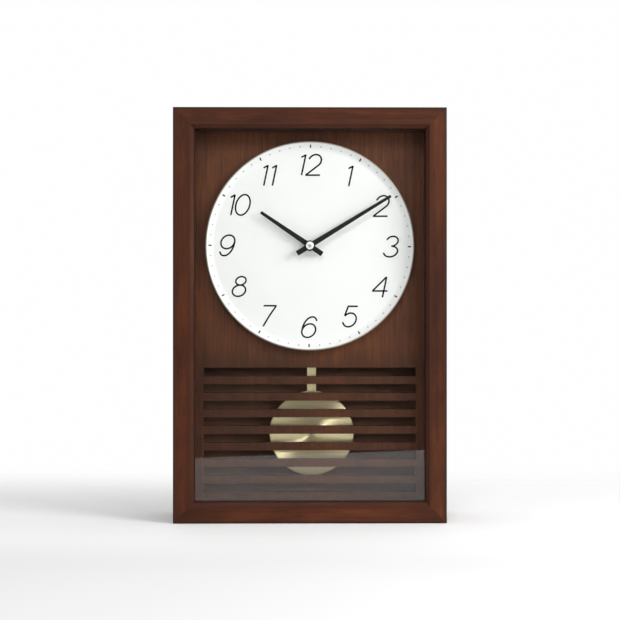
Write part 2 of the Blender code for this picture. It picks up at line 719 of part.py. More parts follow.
THIRD = Gear(64, 0.34 * MM, WHEEL_TOOTH, meshed_phase(8, 0.0, 64, THIRD_DIRECTION), 8.0, 8.9)
THIRD_PINION = Gear(8, 0.36 * MM, PINION_TOOTH, 0.0, 6.2, 8.3)
CENTRE = Gear(60, 0.36 * MM, WHEEL_TOOTH, meshed_phase(8, 0.0, 60, THIRD_DIRECTION + math.pi), 6.4, 7.3)

MOTION_CENTRE = polar(centre_distance(12, 36, 0.35 * MM), MOTION_DIRECTION)
KNOB_CENTRE = polar(centre_distance(36, 10, 0.35 * MM), MOTION_DIRECTION, MOTION_CENTRE)
THIRD_CENTRE = polar(centre_distance(8, 64, 0.34 * MM), THIRD_DIRECTION)
FIFTH_CENTRE = polar(centre_distance(15, 60, 0.32 * MM), FIFTH_DIRECTION)
ROTOR_CENTRE = polar(centre_distance(8, 60, 0.28 * MM), ROTOR_DIRECTION, FIFTH_CENTRE)


def arbor_profile(front, back, radius=ARBOR_RADIUS):
    return [(0.0, -front), (radius, -front), (radius, -back), (0.0, -back)]


def place_gear(obj, centre):
    return place_front(obj, centre[0], DIAL_UP + centre[1])


def tube_profile(bore, radius, front, back):
    return [(bore, front), (radius, front), (radius, back), (bore, back)]


def arbor(name, front, back, radius=ARBOR_RADIUS, material=None):
    return turned(name, arbor_profile(front, back, radius), material, steps=12)


def wheel_on_arbor(name, wheel, pinion, front, back, centre, material=WHITE_PLASTIC):
    """A moulded wheel, its pinion and the arbor that they turn on, as one piece."""
    piece = place_gear(wheel.build(name, material), centre)
    others = [arbor(name + "_arbor", front, back)]
    if pinion:
        others.append(pinion.build(name + "_pinion", None))
    for other in others:
        place_gear(other, centre)
    return join(piece, *others)


def build_going_train():
    rotor = place_gear(ROTOR_PINION.build("rotor", MAGNET_GREY), ROTOR_CENTRE)
    front, back = ROTOR_DEPTHS
    magnet = turned("rotor_magnet", arbor_profile(front, back, ROTOR_RADIUS), steps=20)
    shaft = arbor("rotor_arbor", 9.6 * MM, PIVOT_REAR)
    join(rotor, place_gear(magnet, ROTOR_CENTRE), place_gear(shaft, ROTOR_CENTRE))
    wheel_on_arbor("fifth_wheel", FIFTH, FIFTH_PINION, PIVOT_FRONT, PIVOT_REAR, FIFTH_CENTRE)
    wheel_on_arbor("second_wheel", SECOND, SECOND_PINION, 6.7 * MM, PIVOT_REAR, (0.0, 0.0))
    wheel_on_arbor("third_wheel", THIRD, THIRD_PINION, PIVOT_FRONT, PIVOT_REAR, THIRD_CENTRE)
    centre_bore = ARBOR_FRONT_RADIUS + BEARING_CLEARANCE
    place_gear(CENTRE.build("centre_wheel", WHITE_PLASTIC, centre_bore), (0.0, 0.0))


def build_motion_work():
    """The minute arbor with its pinion, the motion wheel, the hour wheel with its pipe, and the setting knob."""
    tip = MINUTE_HAND_FORWARD + HAND_THICKNESS / 2 + 1.3 * MM
    rear = -7.7 * MM
    bore, bore_end = ARBOR_RADIUS + BEARING_CLEARANCE, -6.2 * MM
    outside = [(0.0, tip), (ARBOR_FRONT_RADIUS, tip), (ARBOR_FRONT_RADIUS, rear)]
    inside = [(bore, rear), (bore, bore_end), (0.0, bore_end)]
    post = turned("centre_arbor", outside + inside, STEEL, steps=16)
    join(place_gear(post, (0.0, 0.0)), place_gear(CANNON.build("cannon_pinion", None), (0.0, 0.0)))
    motion = MOTION.build("motion_wheel", WHITE_PLASTIC, STUD_RADIUS + BEARING_CLEARANCE)
    motion_pinion = MOTION_PINION.build("motion_pinion", None, STUD_RADIUS + BEARING_CLEARANCE)
    join(place_gear(motion, MOTION_CENTRE), place_gear(motion_pinion, MOTION_CENTRE))
    hour = place_gear(HOUR.build("hour_wheel", WHITE_PLASTIC, PIPE_BORE), (0.0, 0.0))
    pipe_front, pipe_back = HOUR_HAND_FORWARD + HAND_THICKNESS / 2 + 0.5 * MM, -3.9 * MM
    section = tube_profile(PIPE_BORE, PIPE_RADIUS, pipe_front, pipe_back)
    pipe = turned("hour_pipe", section, steps=16, closed=True)
    join(hour, place_gear(pipe, (0.0, 0.0)))
    knob = place_gear(KNOB_PINION.build("setting_knob", BLACK_PLASTIC), KNOB_CENTRE)
    knob_front, knob_back = MOVEMENT_DEPTH + 0.7 * MM, MOVEMENT_DEPTH + 4.7 * MM
    rib_count, rib_depth = 18, 0.4 * MM
    corners = range(2 * rib_count)
    rim = [polar(KNOB_RADIUS - (step % 2) * rib_depth, math.pi * step / rib_count) for step in corners]
    grip = plate("setting_knob_grip", [rim], knob_back - knob_front)
    grip.data.transform(Matrix.Translation((0.0, 0.0, -(knob_front + knob_back) / 2)))
    stem = arbor("setting_knob_stem", PIVOT_FRONT, knob_back - MM, KNOB_STEM_RADIUS)
    join(knob, place_gear(grip, KNOB_CENTRE), place_gear(stem, KNOB_CENTRE))


# ---------------------------------------------------------------- movement

def movement_box(name, left, right, bottom, top, front, back, material=None):
    """A box in the movement: across, up from the hands' axis, and back from the case's middle plane."""
    return box(name, (left, front, DIAL_UP + bottom), (right, back, DIAL_UP + top), material)


def bearing(name, centre, low, high, radius=ARBOR_RADIUS):
    """A bearing hole between two depths."""
    right, up = centre[0], DIAL_UP + centre[1]
    return cylinder(name, radius + BEARING_CLEARANCE, -high, -low, steps=16, right=right, up=up)


def post(name, centre, radius, end, steps):
    """A post that stands on the inside of the movement's front wall."""
    start = -FRONT_WALL + MOVEMENT_WALL / 2
    return cylinder(name, radius, -end, start, steps=steps, right=centre[0], up=DIAL_UP + centre[1])


def build_movement_case():
    side, wall = MOVEMENT_HALF_WIDTH, MOVEMENT_WALL
    low, high = MOVEMENT_BOTTOM, MOVEMENT_TOP
    inner, inner_low, inner_high = side - wall, low + wall, high - wall
    front = movement_box("movement_front_case", -side, side, low, high, GAP, COVER_SPLIT, BLACK_PLASTIC)
    cut(front, movement_box("front_hollow", -inner, inner, inner_low, inner_high, FRONT_WALL, COVER_SPLIT + MM))
    shelf = BATTERY_RADIUS + 0.5 * MM
    shelf_half, shelf_front, shelf_back = side - wall / 2, FRONT_WALL - wall / 2, COVER_SPLIT - GAP
    for name, up in (("shelf_above", BATTERY_UP + shelf), ("shelf_below", BATTERY_UP - shelf - MM)):
        join(front, movement_box(name, -shelf_half, shelf_half, up, up + MM, shelf_front, shelf_back))
    join(
        front,
        post("motion_stud", MOTION_CENTRE, STUD_RADIUS, 5.9 * MM, 12),
        post("rotor_tower", ROTOR_CENTRE, TOWER_RADIUS, TOWER_END, 16),
    )
    way, way_low, way_high = ARM_WAY_HALF_WIDTH, low - MM, inner_low + MM
    arm_left, arm_right = PENDULUM_RIGHT - way, PENDULUM_RIGHT + way
    through, seat = FRONT_WALL + MM, BEARING_FRONT
    cut(
        front,
        bearing("bushing_seat", (0.0, 0.0), 0.0, through, BUSHING_RADIUS),
        bearing("rotor_front_bearing", ROTOR_CENTRE, 9.4 * MM, TOWER_END + 0.4 * MM),
        bearing("fifth_front_bearing", FIFTH_CENTRE, seat, through),
        bearing("third_front_bearing", THIRD_CENTRE, seat, through),
        bearing("knob_front_bearing", KNOB_CENTRE, seat, through, KNOB_STEM_RADIUS),
        bearing("pivot_front_seat", PIVOT, seat, through, PIVOT_PIN_RADIUS),
        movement_box("front_arm_way", arm_left, arm_right, way_low, way_high, 6.5 * MM, COVER_SPLIT + MM),
    )
    cover_front, split = COVER_SPLIT + GAP, COVER_SPLIT - MM
    back = MOVEMENT_DEPTH
    rear = movement_box("movement_rear_cover", -side, side, low, high, cover_front, back, BLACK_PLASTIC)
    door, door_low, door_high = side - 2.5 * MM, BATTERY_UP - shelf, BATTERY_UP + shelf
    inside, outside, seat = REAR_WALL - MM, MOVEMENT_DEPTH + MM, BEARING_REAR
    cut(
        rear,
        movement_box("rear_hollow", -inner, inner, inner_low, inner_high, split, REAR_WALL),
        movement_box("battery_door", -door, door, door_low, door_high, inside, outside),
        bearing("rotor_rear_bearing", ROTOR_CENTRE, inside, seat),
        bearing("fifth_rear_bearing", FIFTH_CENTRE, inside, seat),
        bearing("second_rear_bearing", (0.0, 0.0), inside, seat),
        bearing("third_rear_bearing", THIRD_CENTRE, inside, seat),
        bearing("knob_rear_bearing", KNOB_CENTRE, inside, outside, KNOB_STEM_RADIUS),
        bearing("pivot_rear_seat", PIVOT, inside, seat, PIVOT_PIN_RADIUS),
        movement_box("rear_arm_way", arm_left, arm_right, way_low, way_high, split, 14.5 * MM),
    )


def build_fixing():
    """The threaded bushing, washer and hexagon nut that clamp the movement to the dial board."""
    inner = PIPE_RADIUS + 0.3 * MM
    flange_front = -(FRONT_WALL + GAP)
    flange_back = flange_front - 0.8 * MM
    outside = [(inner, BUSHING_FRONT), (BUSHING_RADIUS, BUSHING_FRONT), (BUSHING_RADIUS, flange_front)]
    flange = [(BUSHING_FLANGE_RADIUS, flange_front), (BUSHING_FLANGE_RADIUS, flange_back), (inner, flange_back)]
    bushing = turned("threaded_bushing", outside + flange, BRASS, steps=24, closed=True)
    place_front(bushing, 0.0, DIAL_UP)
    hole = circle(BUSHING_RADIUS + GAP, 24)
    washer = plate("bushing_washer", [circle(WASHER_RADIUS, 24), hole], WASHER_THICKNESS, STEEL)
    washer_back = BOARD_FRONT + GAP
    place_front(washer, 0.0, DIAL_UP, washer_back + WASHER_THICKNESS / 2)
    hexagon = [polar(NUT_RADIUS, math.radians(60 * corner)) for corner in range(6)]
    nut = plate("hexagon_nut", [hexagon, hole], NUT_THICKNESS, BRASS)
    place_front(nut, 0.0, DIAL_UP, washer_back + WASHER_THICKNESS + GAP + NUT_THICKNESS / 2)


def battery_profile():
    """An AA cell along local z, from the positive nub down to the flat end."""
    end, round_radius = BATTERY_HALF_LENGTH, BATTERY_RADIUS - BATTERY_ROUNDING
    nub_end, shoulder = end + NUB_LENGTH, end - BATTERY_ROUNDING
    nub = [(0.0, nub_end), (NUB_RADIUS, nub_end), (NUB_RADIUS, end)]
    top = [(round_radius, end), (BATTERY_RADIUS, shoulder)]
    return nub + top + [(BATTERY_RADIUS, -shoulder), (round_radius, -end), (0.0, -end)]


def build_battery():
    battery = turned("battery", battery_profile(), BATTERY_WRAP, steps=24)
    battery.rotation_euler = (0.0, math.pi / 2, 0.0)
    battery.location = (BATTERY_RIGHT, BATTERY_DEPTH, DIAL_UP + BATTERY_UP)
    inner = MOVEMENT_HALF_WIDTH - MOVEMENT_WALL
    left, right = inner - 0.7 * MM, inner - GAP
    low, high = BATTERY_UP - 5 * MM, BATTERY_UP + 5 * MM
    movement_box("battery_contact", left, right, low, high, 4 * MM, 10.6 * MM, STEEL)
    build_battery_spring(-inner + 0.65 * MM)


def build_battery_spring(right):
    """A conical spring of round wire against the cell's flat end."""
    curve = bpy.data.curves.new("battery_spring", "CURVE")
    curve.dimensions = "3D"
    curve.bevel_depth = SPRING_WIRE_RADIUS
    curve.bevel_resolution = 1
    curve.use_fill_caps = True
    curve.materials.append(STEEL)
    steps = 26
    spline = curve.splines.new("POLY")
    spline.points.add(steps)
    for index, point in enumerate(spline.points):
        along = index / steps
        radius = SPRING_BASE_RADIUS + along * (SPRING_TIP_RADIUS - SPRING_BASE_RADIUS)
        angle = 2 * math.pi * SPRING_TURNS * along
        point.co = (SPRING_LENGTH * along, radius * math.cos(angle), radius * math.sin(angle), 1.0)
    spring = bpy.data.objects.new("battery_spring", curve)
    CLOCK.objects.link(spring)
    spring.location = (right, BATTERY_DEPTH, DIAL_UP + BATTERY_UP)


def stator_outline():
    """A plate with the rotor's hole at its upper left and two limbs below, joined at the foot."""
    right, up = ROTOR_CENTRE
    head, foot, foot_top = 5 * MM, -20 * MM, -17.5 * MM
    return [
        (right - head, up - head), (right + 2.6 * MM, up - head), (right + head, up - MM),
        (23.3 * MM, up - MM),
        (23.3 * MM, foot_top), (LIMB_RIGHT, foot_top), (LIMB_RIGHT, LIMB_TOP), (LIMB_LEFT, LIMB_TOP),
        (LIMB_LEFT, foot), (26 * MM, foot), (26 * MM, up + head), (right - head, up + head),
    ]


def build_electrics():
    """The stepping motor's stator and coil, the circuit board with its crystal, and the pendulum's drive coil."""
    outlines = [stator_outline(), circle(STATOR_HOLE_RADIUS, 24, ROTOR_CENTRE)]
    stator = plate("stator", outlines, STATOR_THICKNESS, STEEL)
    place_front(stator, 0.0, DIAL_UP, -STATOR_DEPTH)
    section = tube_profile(COIL_BORE, COIL_RADIUS, COIL_HALF_LENGTH, -COIL_HALF_LENGTH)
    coil = turned("motor_coil", section, COPPER, steps=16, closed=True)
    coil.location = ((LIMB_LEFT + LIMB_RIGHT) / 2, STATOR_DEPTH, DIAL_UP + COIL_UP)
    movement_box("circuit_board", -25 * MM, 8 * MM, 19.5 * MM, 26 * MM, 13.1 * MM, 14.1 * MM, BOARD_GREEN)
    section = [(0.0, 3 * MM), (MM, 3 * MM), (MM, -3 * MM), (0.0, -3 * MM)]
    crystal = turned("quartz_crystal", section, SILVER, steps=12)
    crystal.rotation_euler = (0.0, math.pi / 2, 0.0)
    crystal.location = (-16 * MM, 11.7 * MM, DIAL_UP + 22.5 * MM)
    section = tube_profile(3 * MM, 8 * MM, -2.2 * MM, -5 * MM)
    drive = turned("pendulum_drive_coil", section, COPPER, steps=32, closed=True)
    place_front(drive, PENDULUM_RIGHT, PIVOT_UP - MAGNET_DROP)


# ---------------------------------------------------------------- pendulum

def build_swing_arm():
    """The arm that turns on the pivot pin, with the stud that the rod hooks onto, and the arm's magnet."""
    place_gear(arbor("pivot_pin", PIVOT_FRONT, PIVOT_REAR, PIVOT_PIN_RADIUS, STEEL), PIVOT)
    start = math.asin(ARM_HALF_WIDTH / ARM_EYE_RADIUS)
    arc = [start + step * 2 * (math.pi - start) / 12 for step in range(13)]
    outline = [(ARM_EYE_RADIUS * math.sin(angle), -ARM_EYE_RADIUS * math.cos(angle)) for angle in arc]
    arm_end = -HOOK_DROP - 3 * MM
    outline += [(-ARM_HALF_WIDTH, arm_end), (ARM_HALF_WIDTH, arm_end)]
    outlines = [outline, circle(PIVOT_PIN_RADIUS + BEARING_CLEARANCE, 16)]
    arm = plate("swing_arm", outlines, ARM_THICKNESS, WHITE_PLASTIC)
    place_front(arm, PENDULUM_RIGHT, PIVOT_UP, -(ARM_DEPTH + ARM_THICKNESS / 2))
    root, neck_end, head_end = -ARM_DEPTH - MM, -12.4 * MM, -13.2 * MM
    neck = [(0.0, root), (HOOK_RADIUS, root), (HOOK_RADIUS, neck_end)]
    head = [(HOOK_HEAD_RADIUS, neck_end), (HOOK_HEAD_RADIUS, head_end), (0.0, head_end)]
    hook = turned("arm_hook", neck + head, steps=12)
    join(arm, place_front(hook, PENDULUM_RIGHT, PIVOT_UP - HOOK_DROP))
    cylinder(
        "swing_magnet", MAGNET_RADIUS, -ARM_DEPTH + 0.1 * MM, -ARM_DEPTH + 3 * MM, MAGNET_GREY, 24,
        right=PENDULUM_RIGHT, up=PIVOT_UP - MAGNET_DROP,
    )


def bob_profile():
    """A shallow dish of sheet brass, open at the back, with a boss and a threaded stud behind its middle."""
    back, front = -BOB_BACK_DEPTH, -BOB_BACK_DEPTH + BOB_THICKNESS
    seat, inside = -PENDULUM_DEPTH + GAP, front - BOB_SHEET
    face = [(0.0, front), (BOB_RADIUS - 2 * BOB_RIM, front), (BOB_RADIUS - BOB_RIM, front - 0.15 * MM)]
    edge = [(BOB_RADIUS, front - BOB_RIM), (BOB_RADIUS, back), (BOB_RADIUS - BOB_SHEET, back)]
    hollow = [(BOB_RADIUS - BOB_SHEET, front - BOB_RIM - BOB_SHEET / 2), (BOB_RADIUS - 2 * BOB_RIM, inside)]
    boss = [(BOB_BOSS_RADIUS, inside), (BOB_BOSS_RADIUS, seat), (BOB_STUD_RADIUS, seat)]
    return face + edge + hollow + boss + [(BOB_STUD_RADIUS, -BOB_STUD_END), (0.0, -BOB_STUD_END)]


def build_pendulum():
    """The rod that hangs from the arm's stud below the movement, and the bob with its nut behind the rod."""
    half, corner = ROD_WIDTH / 2, 2 * MM
    bottom = BOB_UP - 12 * MM - ROD_TOP
    outline = [
        (-half, bottom), (half, bottom), (half, -corner), (half - corner, 0.0), (-half + corner, 0.0),
        (-half, -corner),
    ]
    hook_hole = circle(HOOK_RADIUS + 0.25 * MM, 12, (0.0, PIVOT_UP - HOOK_DROP - ROD_TOP))
    stud_hole = circle(BOB_STUD_RADIUS + 0.4 * MM, 16, (0.0, BOB_UP - ROD_TOP))
    rod = plate("pendulum_rod", [outline, hook_hole, stud_hole], ROD_THICKNESS, BRASS)
    place_front(rod, PENDULUM_RIGHT, ROD_TOP, -(PENDULUM_DEPTH + ROD_THICKNESS / 2))
    place_front(turned("pendulum_bob", bob_profile(), BRASS, steps=64), PENDULUM_RIGHT, BOB_UP)
    nut_front = -(PENDULUM_DEPTH + ROD_THICKNESS + GAP)
    section = tube_profile(BOB_STUD_RADIUS + GAP, BOB_NUT_RADIUS, nut_front, -BOB_NUT_BACK)
    place_front(turned("bob_nut", section, BRASS, steps=16, closed=True), PENDULUM_RIGHT, BOB_UP)


# ---------------------------------------------------------------- assembly

def build_clock():
    long_screw = screw_mesh("long_screw", HEAD_RADIUS, HEAD_HEIGHT, SHANK_RADIUS, BACK_SCREW_LENGTH)
    board_screw = screw_mesh("board_screw", HEAD_RADIUS, HEAD_HEIGHT, SHANK_RADIUS, BOARD_SCREW_LENGTH)
    dial_screw = screw_mesh("dial_screw", HEAD_RADIUS, HEAD_HEIGHT, SHANK_RADIUS, DIAL_SCREW_LENGTH)
    small_screw = screw_mesh("small_screw", 2.6 * MM, 0.9 * MM, 0.9 * MM, HANGER_SCREW_LENGTH)
    build_case()
    build_glass_and_spacers()
    build_dial_board()
    build_battens(board_screw)
    build_back(long_screw, small_screw)
    build_dial(dial_screw)
    build_hands()
    build_movement_case()
    build_fixing()
    build_battery()
    build_electrics()
    build_going_train()
    build_motion_work()
    build_swing_arm()
    build_pendulum()


build_clock()
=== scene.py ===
"""The looks of the pendulum wall clock: wood, glass, dial printing, brass and the studio.

The clock stands on the floor at z = 0 and faces -Y. Flat work on the dial and the pendulum is
drawn as seen from the front: local x runs right, local y up and local z towards the viewer.
Lengths are in metres and colours are linear.
"""

import json
import math

import bmesh
import bpy
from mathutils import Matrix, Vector


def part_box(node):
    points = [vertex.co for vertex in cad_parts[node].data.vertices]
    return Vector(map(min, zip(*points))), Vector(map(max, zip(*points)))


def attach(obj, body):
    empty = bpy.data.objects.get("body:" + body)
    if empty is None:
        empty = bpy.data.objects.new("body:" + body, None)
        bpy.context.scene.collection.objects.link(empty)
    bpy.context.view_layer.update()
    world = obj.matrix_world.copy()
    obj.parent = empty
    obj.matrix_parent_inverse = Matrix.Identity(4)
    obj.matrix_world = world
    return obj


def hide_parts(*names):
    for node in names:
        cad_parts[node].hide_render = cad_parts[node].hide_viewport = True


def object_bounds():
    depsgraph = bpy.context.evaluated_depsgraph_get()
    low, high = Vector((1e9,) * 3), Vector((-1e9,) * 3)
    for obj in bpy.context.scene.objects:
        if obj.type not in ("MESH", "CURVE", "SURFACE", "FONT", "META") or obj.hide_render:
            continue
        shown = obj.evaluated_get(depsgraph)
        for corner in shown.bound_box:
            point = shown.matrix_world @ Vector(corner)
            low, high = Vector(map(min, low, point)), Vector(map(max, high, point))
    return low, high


MM = 0.001

# Dial printing, the angles in degrees
NUMERAL_RADIUS = 79 * MM
NUMERAL_HEIGHT = 20 * MM
NUMERAL_SLANT = 0.21  # sideways lean per unit of height
NUMERAL_STROKE = 1.6 * MM
NUMERAL_NUDGES = {
    2: 0.6 * MM,
    5: 0.5 * MM,
    7: 1.1 * MM,
    9: -1.2 * MM,
    10: 0.6 * MM,
    11: 0.5 * MM,
    12: 1.0 * MM,
}  # to the right of the hour's own angle
DIGIT_ADVANCE = 0.42  # from one digit to the next, in numeral heights
PRINT_TURN = 0.4
INK_THICKNESS = 0.08 * MM
TICK_INNER = 95.4 * MM
TICK_OUTER = 98.4 * MM
TICK_WIDTH = 1.25 * MM
DOT_RADIUS = 0.5 * MM
DOT_PLACE = 96.9 * MM

# Dial ring and face
BAND_CURVE = 1.7  # above 1, the sloping band is hollow
RIM_ROLL = 1.4 * MM
RIM_LEDGE = 4.1 * MM
FACE_GAP = 0.3 * MM
FACE_HOLE = 3 * MM
DIAL_STEPS = 256

# Case boards, each distance from the board's outer edge
FRAME_FACE = 16.5 * MM
EDGE_TONE = 5 * MM
SHADED_ARRIS = (1.7 * MM, 0.2 * MM)
SIGHT_EDGE = (20.4 * MM, 19.0 * MM)
EASED_EDGE = 0.35 * MM
WALNUT_DARK = (0.038, 0.0098, 0.0041)
WALNUT_LIGHT = (0.088, 0.0243, 0.0079)
WALNUT_EDGE = (0.045, 0.013, 0.006, 1.0)
# Painted shade, near black, for the outer arrises and the recess past the sight edge
WALNUT_PAINTED_SHADE = (0.009, 0.0035, 0.0022, 1.0)

# Other woods and paints
INNER_DARK = (0.04, 0.015, 0.009)
INNER_LIGHT = (0.075, 0.028, 0.016)
PANEL_DARK = (0.083, 0.0238, 0.0072)
PANEL_LIGHT = (0.162, 0.0475, 0.0135)
FIBRE_DARK = (0.115, 0.054, 0.03)
FIBRE_LIGHT = (0.225, 0.106, 0.06)
WOOD_TEXTURE = 0.05 * MM
PAINT_DARK = (0.875, 0.877, 0.875)
PAINT_LIGHT = (0.9, 0.9, 0.897)
# Painted shade for the dial's rolled edge
RIM_SHADE = (0.4, 0.37, 0.32, 1.0)

# Metals and glass
BOB_DARK = (0.9, 0.77, 0.46)
BOB_LIGHT = (0.98, 0.86, 0.54)
BRASS_DARK = (0.7, 0.6, 0.33)
BRASS_LIGHT = (1.0, 0.88, 0.56)
STEEL_DARK = (0.5, 0.5, 0.48)
STEEL_LIGHT = (0.62, 0.62, 0.6)
FINE_TEXTURE = 0.01 * MM
GLASS_TINT = (0.985, 0.99, 0.985, 1.0)
HEAD_ON_MIRROR = 0.04
FRESNEL_POWER = 5.0

# Camera, in front of the case's front plane
CAMERA_DISTANCE = 1.3
CAMERA_RIGHT = -12.5 * MM
CAMERA_UP = 0.204
CAMERA_YAW = math.radians(0.55)
LENS = 79.0
SENSOR_WIDTH = 36.0

# Floor. The pairs are depths, from the nearer to the farther
FLOOR_REACH = 4.0
FLOOR_DROP = 0.2 * MM
FLOOR_FRONT = -0.652
FLOOR_FRONT_SLOPE = -0.31
FLOOR_FADE = (0.02, 0.42)
FLOOR_SHADE = (-0.26, -0.1)
FLOOR_NEAR = 0.87

# World: what the camera, plain surfaces, glossy surfaces and the glass each see
BACKGROUND_WHITE = 0.995
AMBIENT = 0.365
GLOSSY_ROOM = 0.78
DARK_ROOM = 0.02

# Each round area light's place, target, diameter and power in watts
CLOCK_MIDDLE = (0.0, 0.0, 0.22)
LIGHTS = {
    "key": ((1.14, -0.838, 0.78), CLOCK_MIDDLE, 0.76, 17.6),
    "front_fill": ((-0.2, -1.9, 1.45), CLOCK_MIDDLE, 0.8, 14.6),
    "low_fill": ((0.75, -1.6, 0.42), (0.0, 0.0, 0.1), 0.14, 4.2),
    "overhead": ((0.0, 0.4, 2.2), (0.0, 0.3, 0.0), 1.6, 12.0),
}

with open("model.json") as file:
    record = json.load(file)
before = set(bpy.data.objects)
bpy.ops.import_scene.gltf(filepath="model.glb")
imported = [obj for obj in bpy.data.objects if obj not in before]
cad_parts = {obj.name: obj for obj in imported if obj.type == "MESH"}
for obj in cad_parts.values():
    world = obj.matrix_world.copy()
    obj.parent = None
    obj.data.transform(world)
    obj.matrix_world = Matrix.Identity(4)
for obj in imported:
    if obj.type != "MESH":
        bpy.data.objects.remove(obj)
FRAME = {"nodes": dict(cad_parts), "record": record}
NODES = FRAME["nodes"]
SLOT_OF = {part["node"]: part["material_slot"] for part in FRAME["record"]["subparts"]}
REST_LOW, REST_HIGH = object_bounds()


# ---------------------------------------------------------------- shader helpers

class Look:
    """A Principled material with short ways to add texture nodes."""

    def __init__(self, name, **settings):
        self.material = bpy.data.materials.new(name)
        self.material.use_nodes = True
        self.tree = self.material.node_tree
        self.shader = self.tree.nodes["Principled BSDF"]
        for setting, value in settings.items():
            socket = setting.replace("_", " ").title().replace("Ior", "IOR")
            self.shader.inputs[socket].default_value = value
        self.position = self.add("TexCoord").outputs["Object"]

    def add(self, kind, inputs=None, **settings):
        node = self.tree.nodes.new("ShaderNode" + kind)
        for key, value in settings.items():
            setattr(node, key, value)
        for socket, value in (inputs or {}).items():
            if isinstance(value, bpy.types.NodeSocket):
                self.tree.links.new(value, node.inputs[socket])
            else:
                node.inputs[socket].default_value = value
        return node

    def link(self, output, socket):
        self.tree.links.new(output, self.shader.inputs[socket])

    def scaled(self, scale):
        return self.add("Mapping", {"Vector": self.position, "Scale": scale}).outputs[0]

    def noise(self, scale, detail=2.0, roughness=0.5, stretch=(1, 1, 1), distortion=0.0):
        """Noise from 0 to 1, drawn out along each axis whose stretch is below 1."""
        inputs = {
            "Vector": self.scaled(stretch),
            "Scale": scale,
            "Detail": detail,
            "Roughness": roughness,
            "Distortion": distortion,
        }
        return self.add("TexNoise", inputs).outputs["Fac"]

    def math(self, operation, first, second=0.0):
        return self.add("Math", {0: first, 1: second}, operation=operation).outputs[0]

    def spread(self, value, low, high, to_low=0.0, to_high=1.0):
        """The value eased from one range to another, and held at its ends."""
        inputs = {
            "Value": value,
            "From Min": low,
            "From Max": high,
            "To Min": to_low,
            "To Max": to_high,
        }
        return self.add("MapRange", inputs, interpolation_type="SMOOTHSTEP").outputs[0]

    def ramp(self, value, *stops):
        """Colours between stops, each a (place, colour) pair."""
        node = self.add("ValToRGB", {"Fac": value})
        elements = node.color_ramp.elements
        while len(elements) < len(stops):
            elements.new(0.5)
        for element, (place, colour) in zip(elements, stops):
            element.position = place
            element.color = (*colour, 1.0)
        return node.outputs["Color"]

    def mix(self, factor, first, second, blend="MIX"):
        inputs = {0: factor, 6: first, 7: second}
        return self.add("Mix", inputs, data_type="RGBA", blend_type=blend).outputs[2]

    def tint(self, colour, value, *stops):
        """The colour multiplied by greys along the value, each stop a (place, brightness) pair."""
        shade = self.ramp(value, *[(place, grey(brightness)) for place, brightness in stops])
        return self.mix(1.0, colour, shade, "MULTIPLY")

    def radius(self):
        """Distance from the piece's local z axis."""
        place = self.add("SeparateXYZ", {0: self.position}).outputs
        flat = self.add("CombineXYZ", {"X": place["X"], "Y": place["Y"]}).outputs[0]
        return self.add("VectorMath", {0: flat}, operation="LENGTH").outputs["Value"]

    def bump(self, height, distance, strength):
        inputs = {"Height": height, "Distance": distance, "Strength": strength}
        self.link(self.add("Bump", inputs).outputs[0], "Normal")

    def finish_with(self, surface):
        self.tree.links.new(surface, self.tree.nodes["Material Output"].inputs["Surface"])


def grey(value):
    return (value, value, value)


# ---------------------------------------------------------------- wood and board

def wood_colour(look, dark, light, grain, mottle_scale):
    """Broad stain mottling under long streaks and short pores, drawn out along the grain axis.

    Gives the colour and the height of the surface.
    """

    def along(factor):
        return tuple(factor if axis == grain else 1.0 for axis in "XYZ")

    mottle = look.noise(mottle_scale, 3.0, 0.55, along(0.45), 0.6)
    streak = look.noise(240.0, 5.0, 0.62, along(0.045), 0.4)
    pores = look.noise(1500.0, 2.0, 0.5, along(0.035))
    colour = look.ramp(mottle, (0.32, dark), (0.68, light))
    colour = look.tint(colour, streak, (0.3, 0.66), (0.7, 1.24))
    colour = look.tint(colour, pores, (0.36, 0.72), (0.5, 1.04))
    return colour, look.math("ADD", look.math("MULTIPLY", streak, 0.6), pores)


def walnut_board(name, grain, across):
    """Stained case wood, darker and redder along its edges, with painted shade along the outer
    arrises and on the inner walls past the sight edge. Heights are from the case's middle.
    """
    middle = (REST_LOW.z + REST_HIGH.z) / 2
    half = {"X": REST_HIGH.x, "Z": REST_HIGH.z - middle}[across]
    look = Look(name, specular_ior_level=0.1, coat_weight=0.06, coat_roughness=0.2)
    colour, height = wood_colour(look, WALNUT_DARK, WALNUT_LIGHT, grain, 22.0)

    place = look.add("SeparateXYZ", {0: look.position}).outputs
    offset = look.math("SUBTRACT", place[across], middle if across == "Z" else 0.0)
    outward = look.math("ABSOLUTE", offset)
    forward = look.math("MULTIPLY", place["Y"], -1.0)
    off_centre = look.math("SUBTRACT", outward, half - FRAME_FACE / 2)
    off_centre = look.math("ABSOLUTE", off_centre)
    near_side = look.spread(off_centre, FRAME_FACE / 2 - EDGE_TONE, FRAME_FACE / 2)
    near_front = look.spread(forward, -REST_LOW.y - EDGE_TONE, -REST_LOW.y)
    outermost = look.spread(outward, *[half - inset for inset in SHADED_ARRIS])
    sight_edge = look.spread(outward, *[half - inset for inset in SIGHT_EDGE], 1.0, 0.0)

    edge = look.math("MULTIPLY", near_side, near_front)
    wavering = look.spread(look.noise(60.0), 0.3, 0.7, 0.65, 1.0)
    colour = look.mix(look.math("MULTIPLY", edge, wavering), colour, WALNUT_EDGE)
    # Painted shade: near black along the front's outer arrises and on the inner walls beyond the
    # sight edge.
    corner = look.math("MAXIMUM", look.math("MULTIPLY", outermost, near_front), sight_edge)
    look.link(look.mix(corner, colour, WALNUT_PAINTED_SHADE), "Base Color")
    look.link(look.spread(look.noise(90.0), 0.3, 0.7, 0.42, 0.53), "Roughness")
    look.bump(height, WOOD_TEXTURE, 0.5)
    return look.material


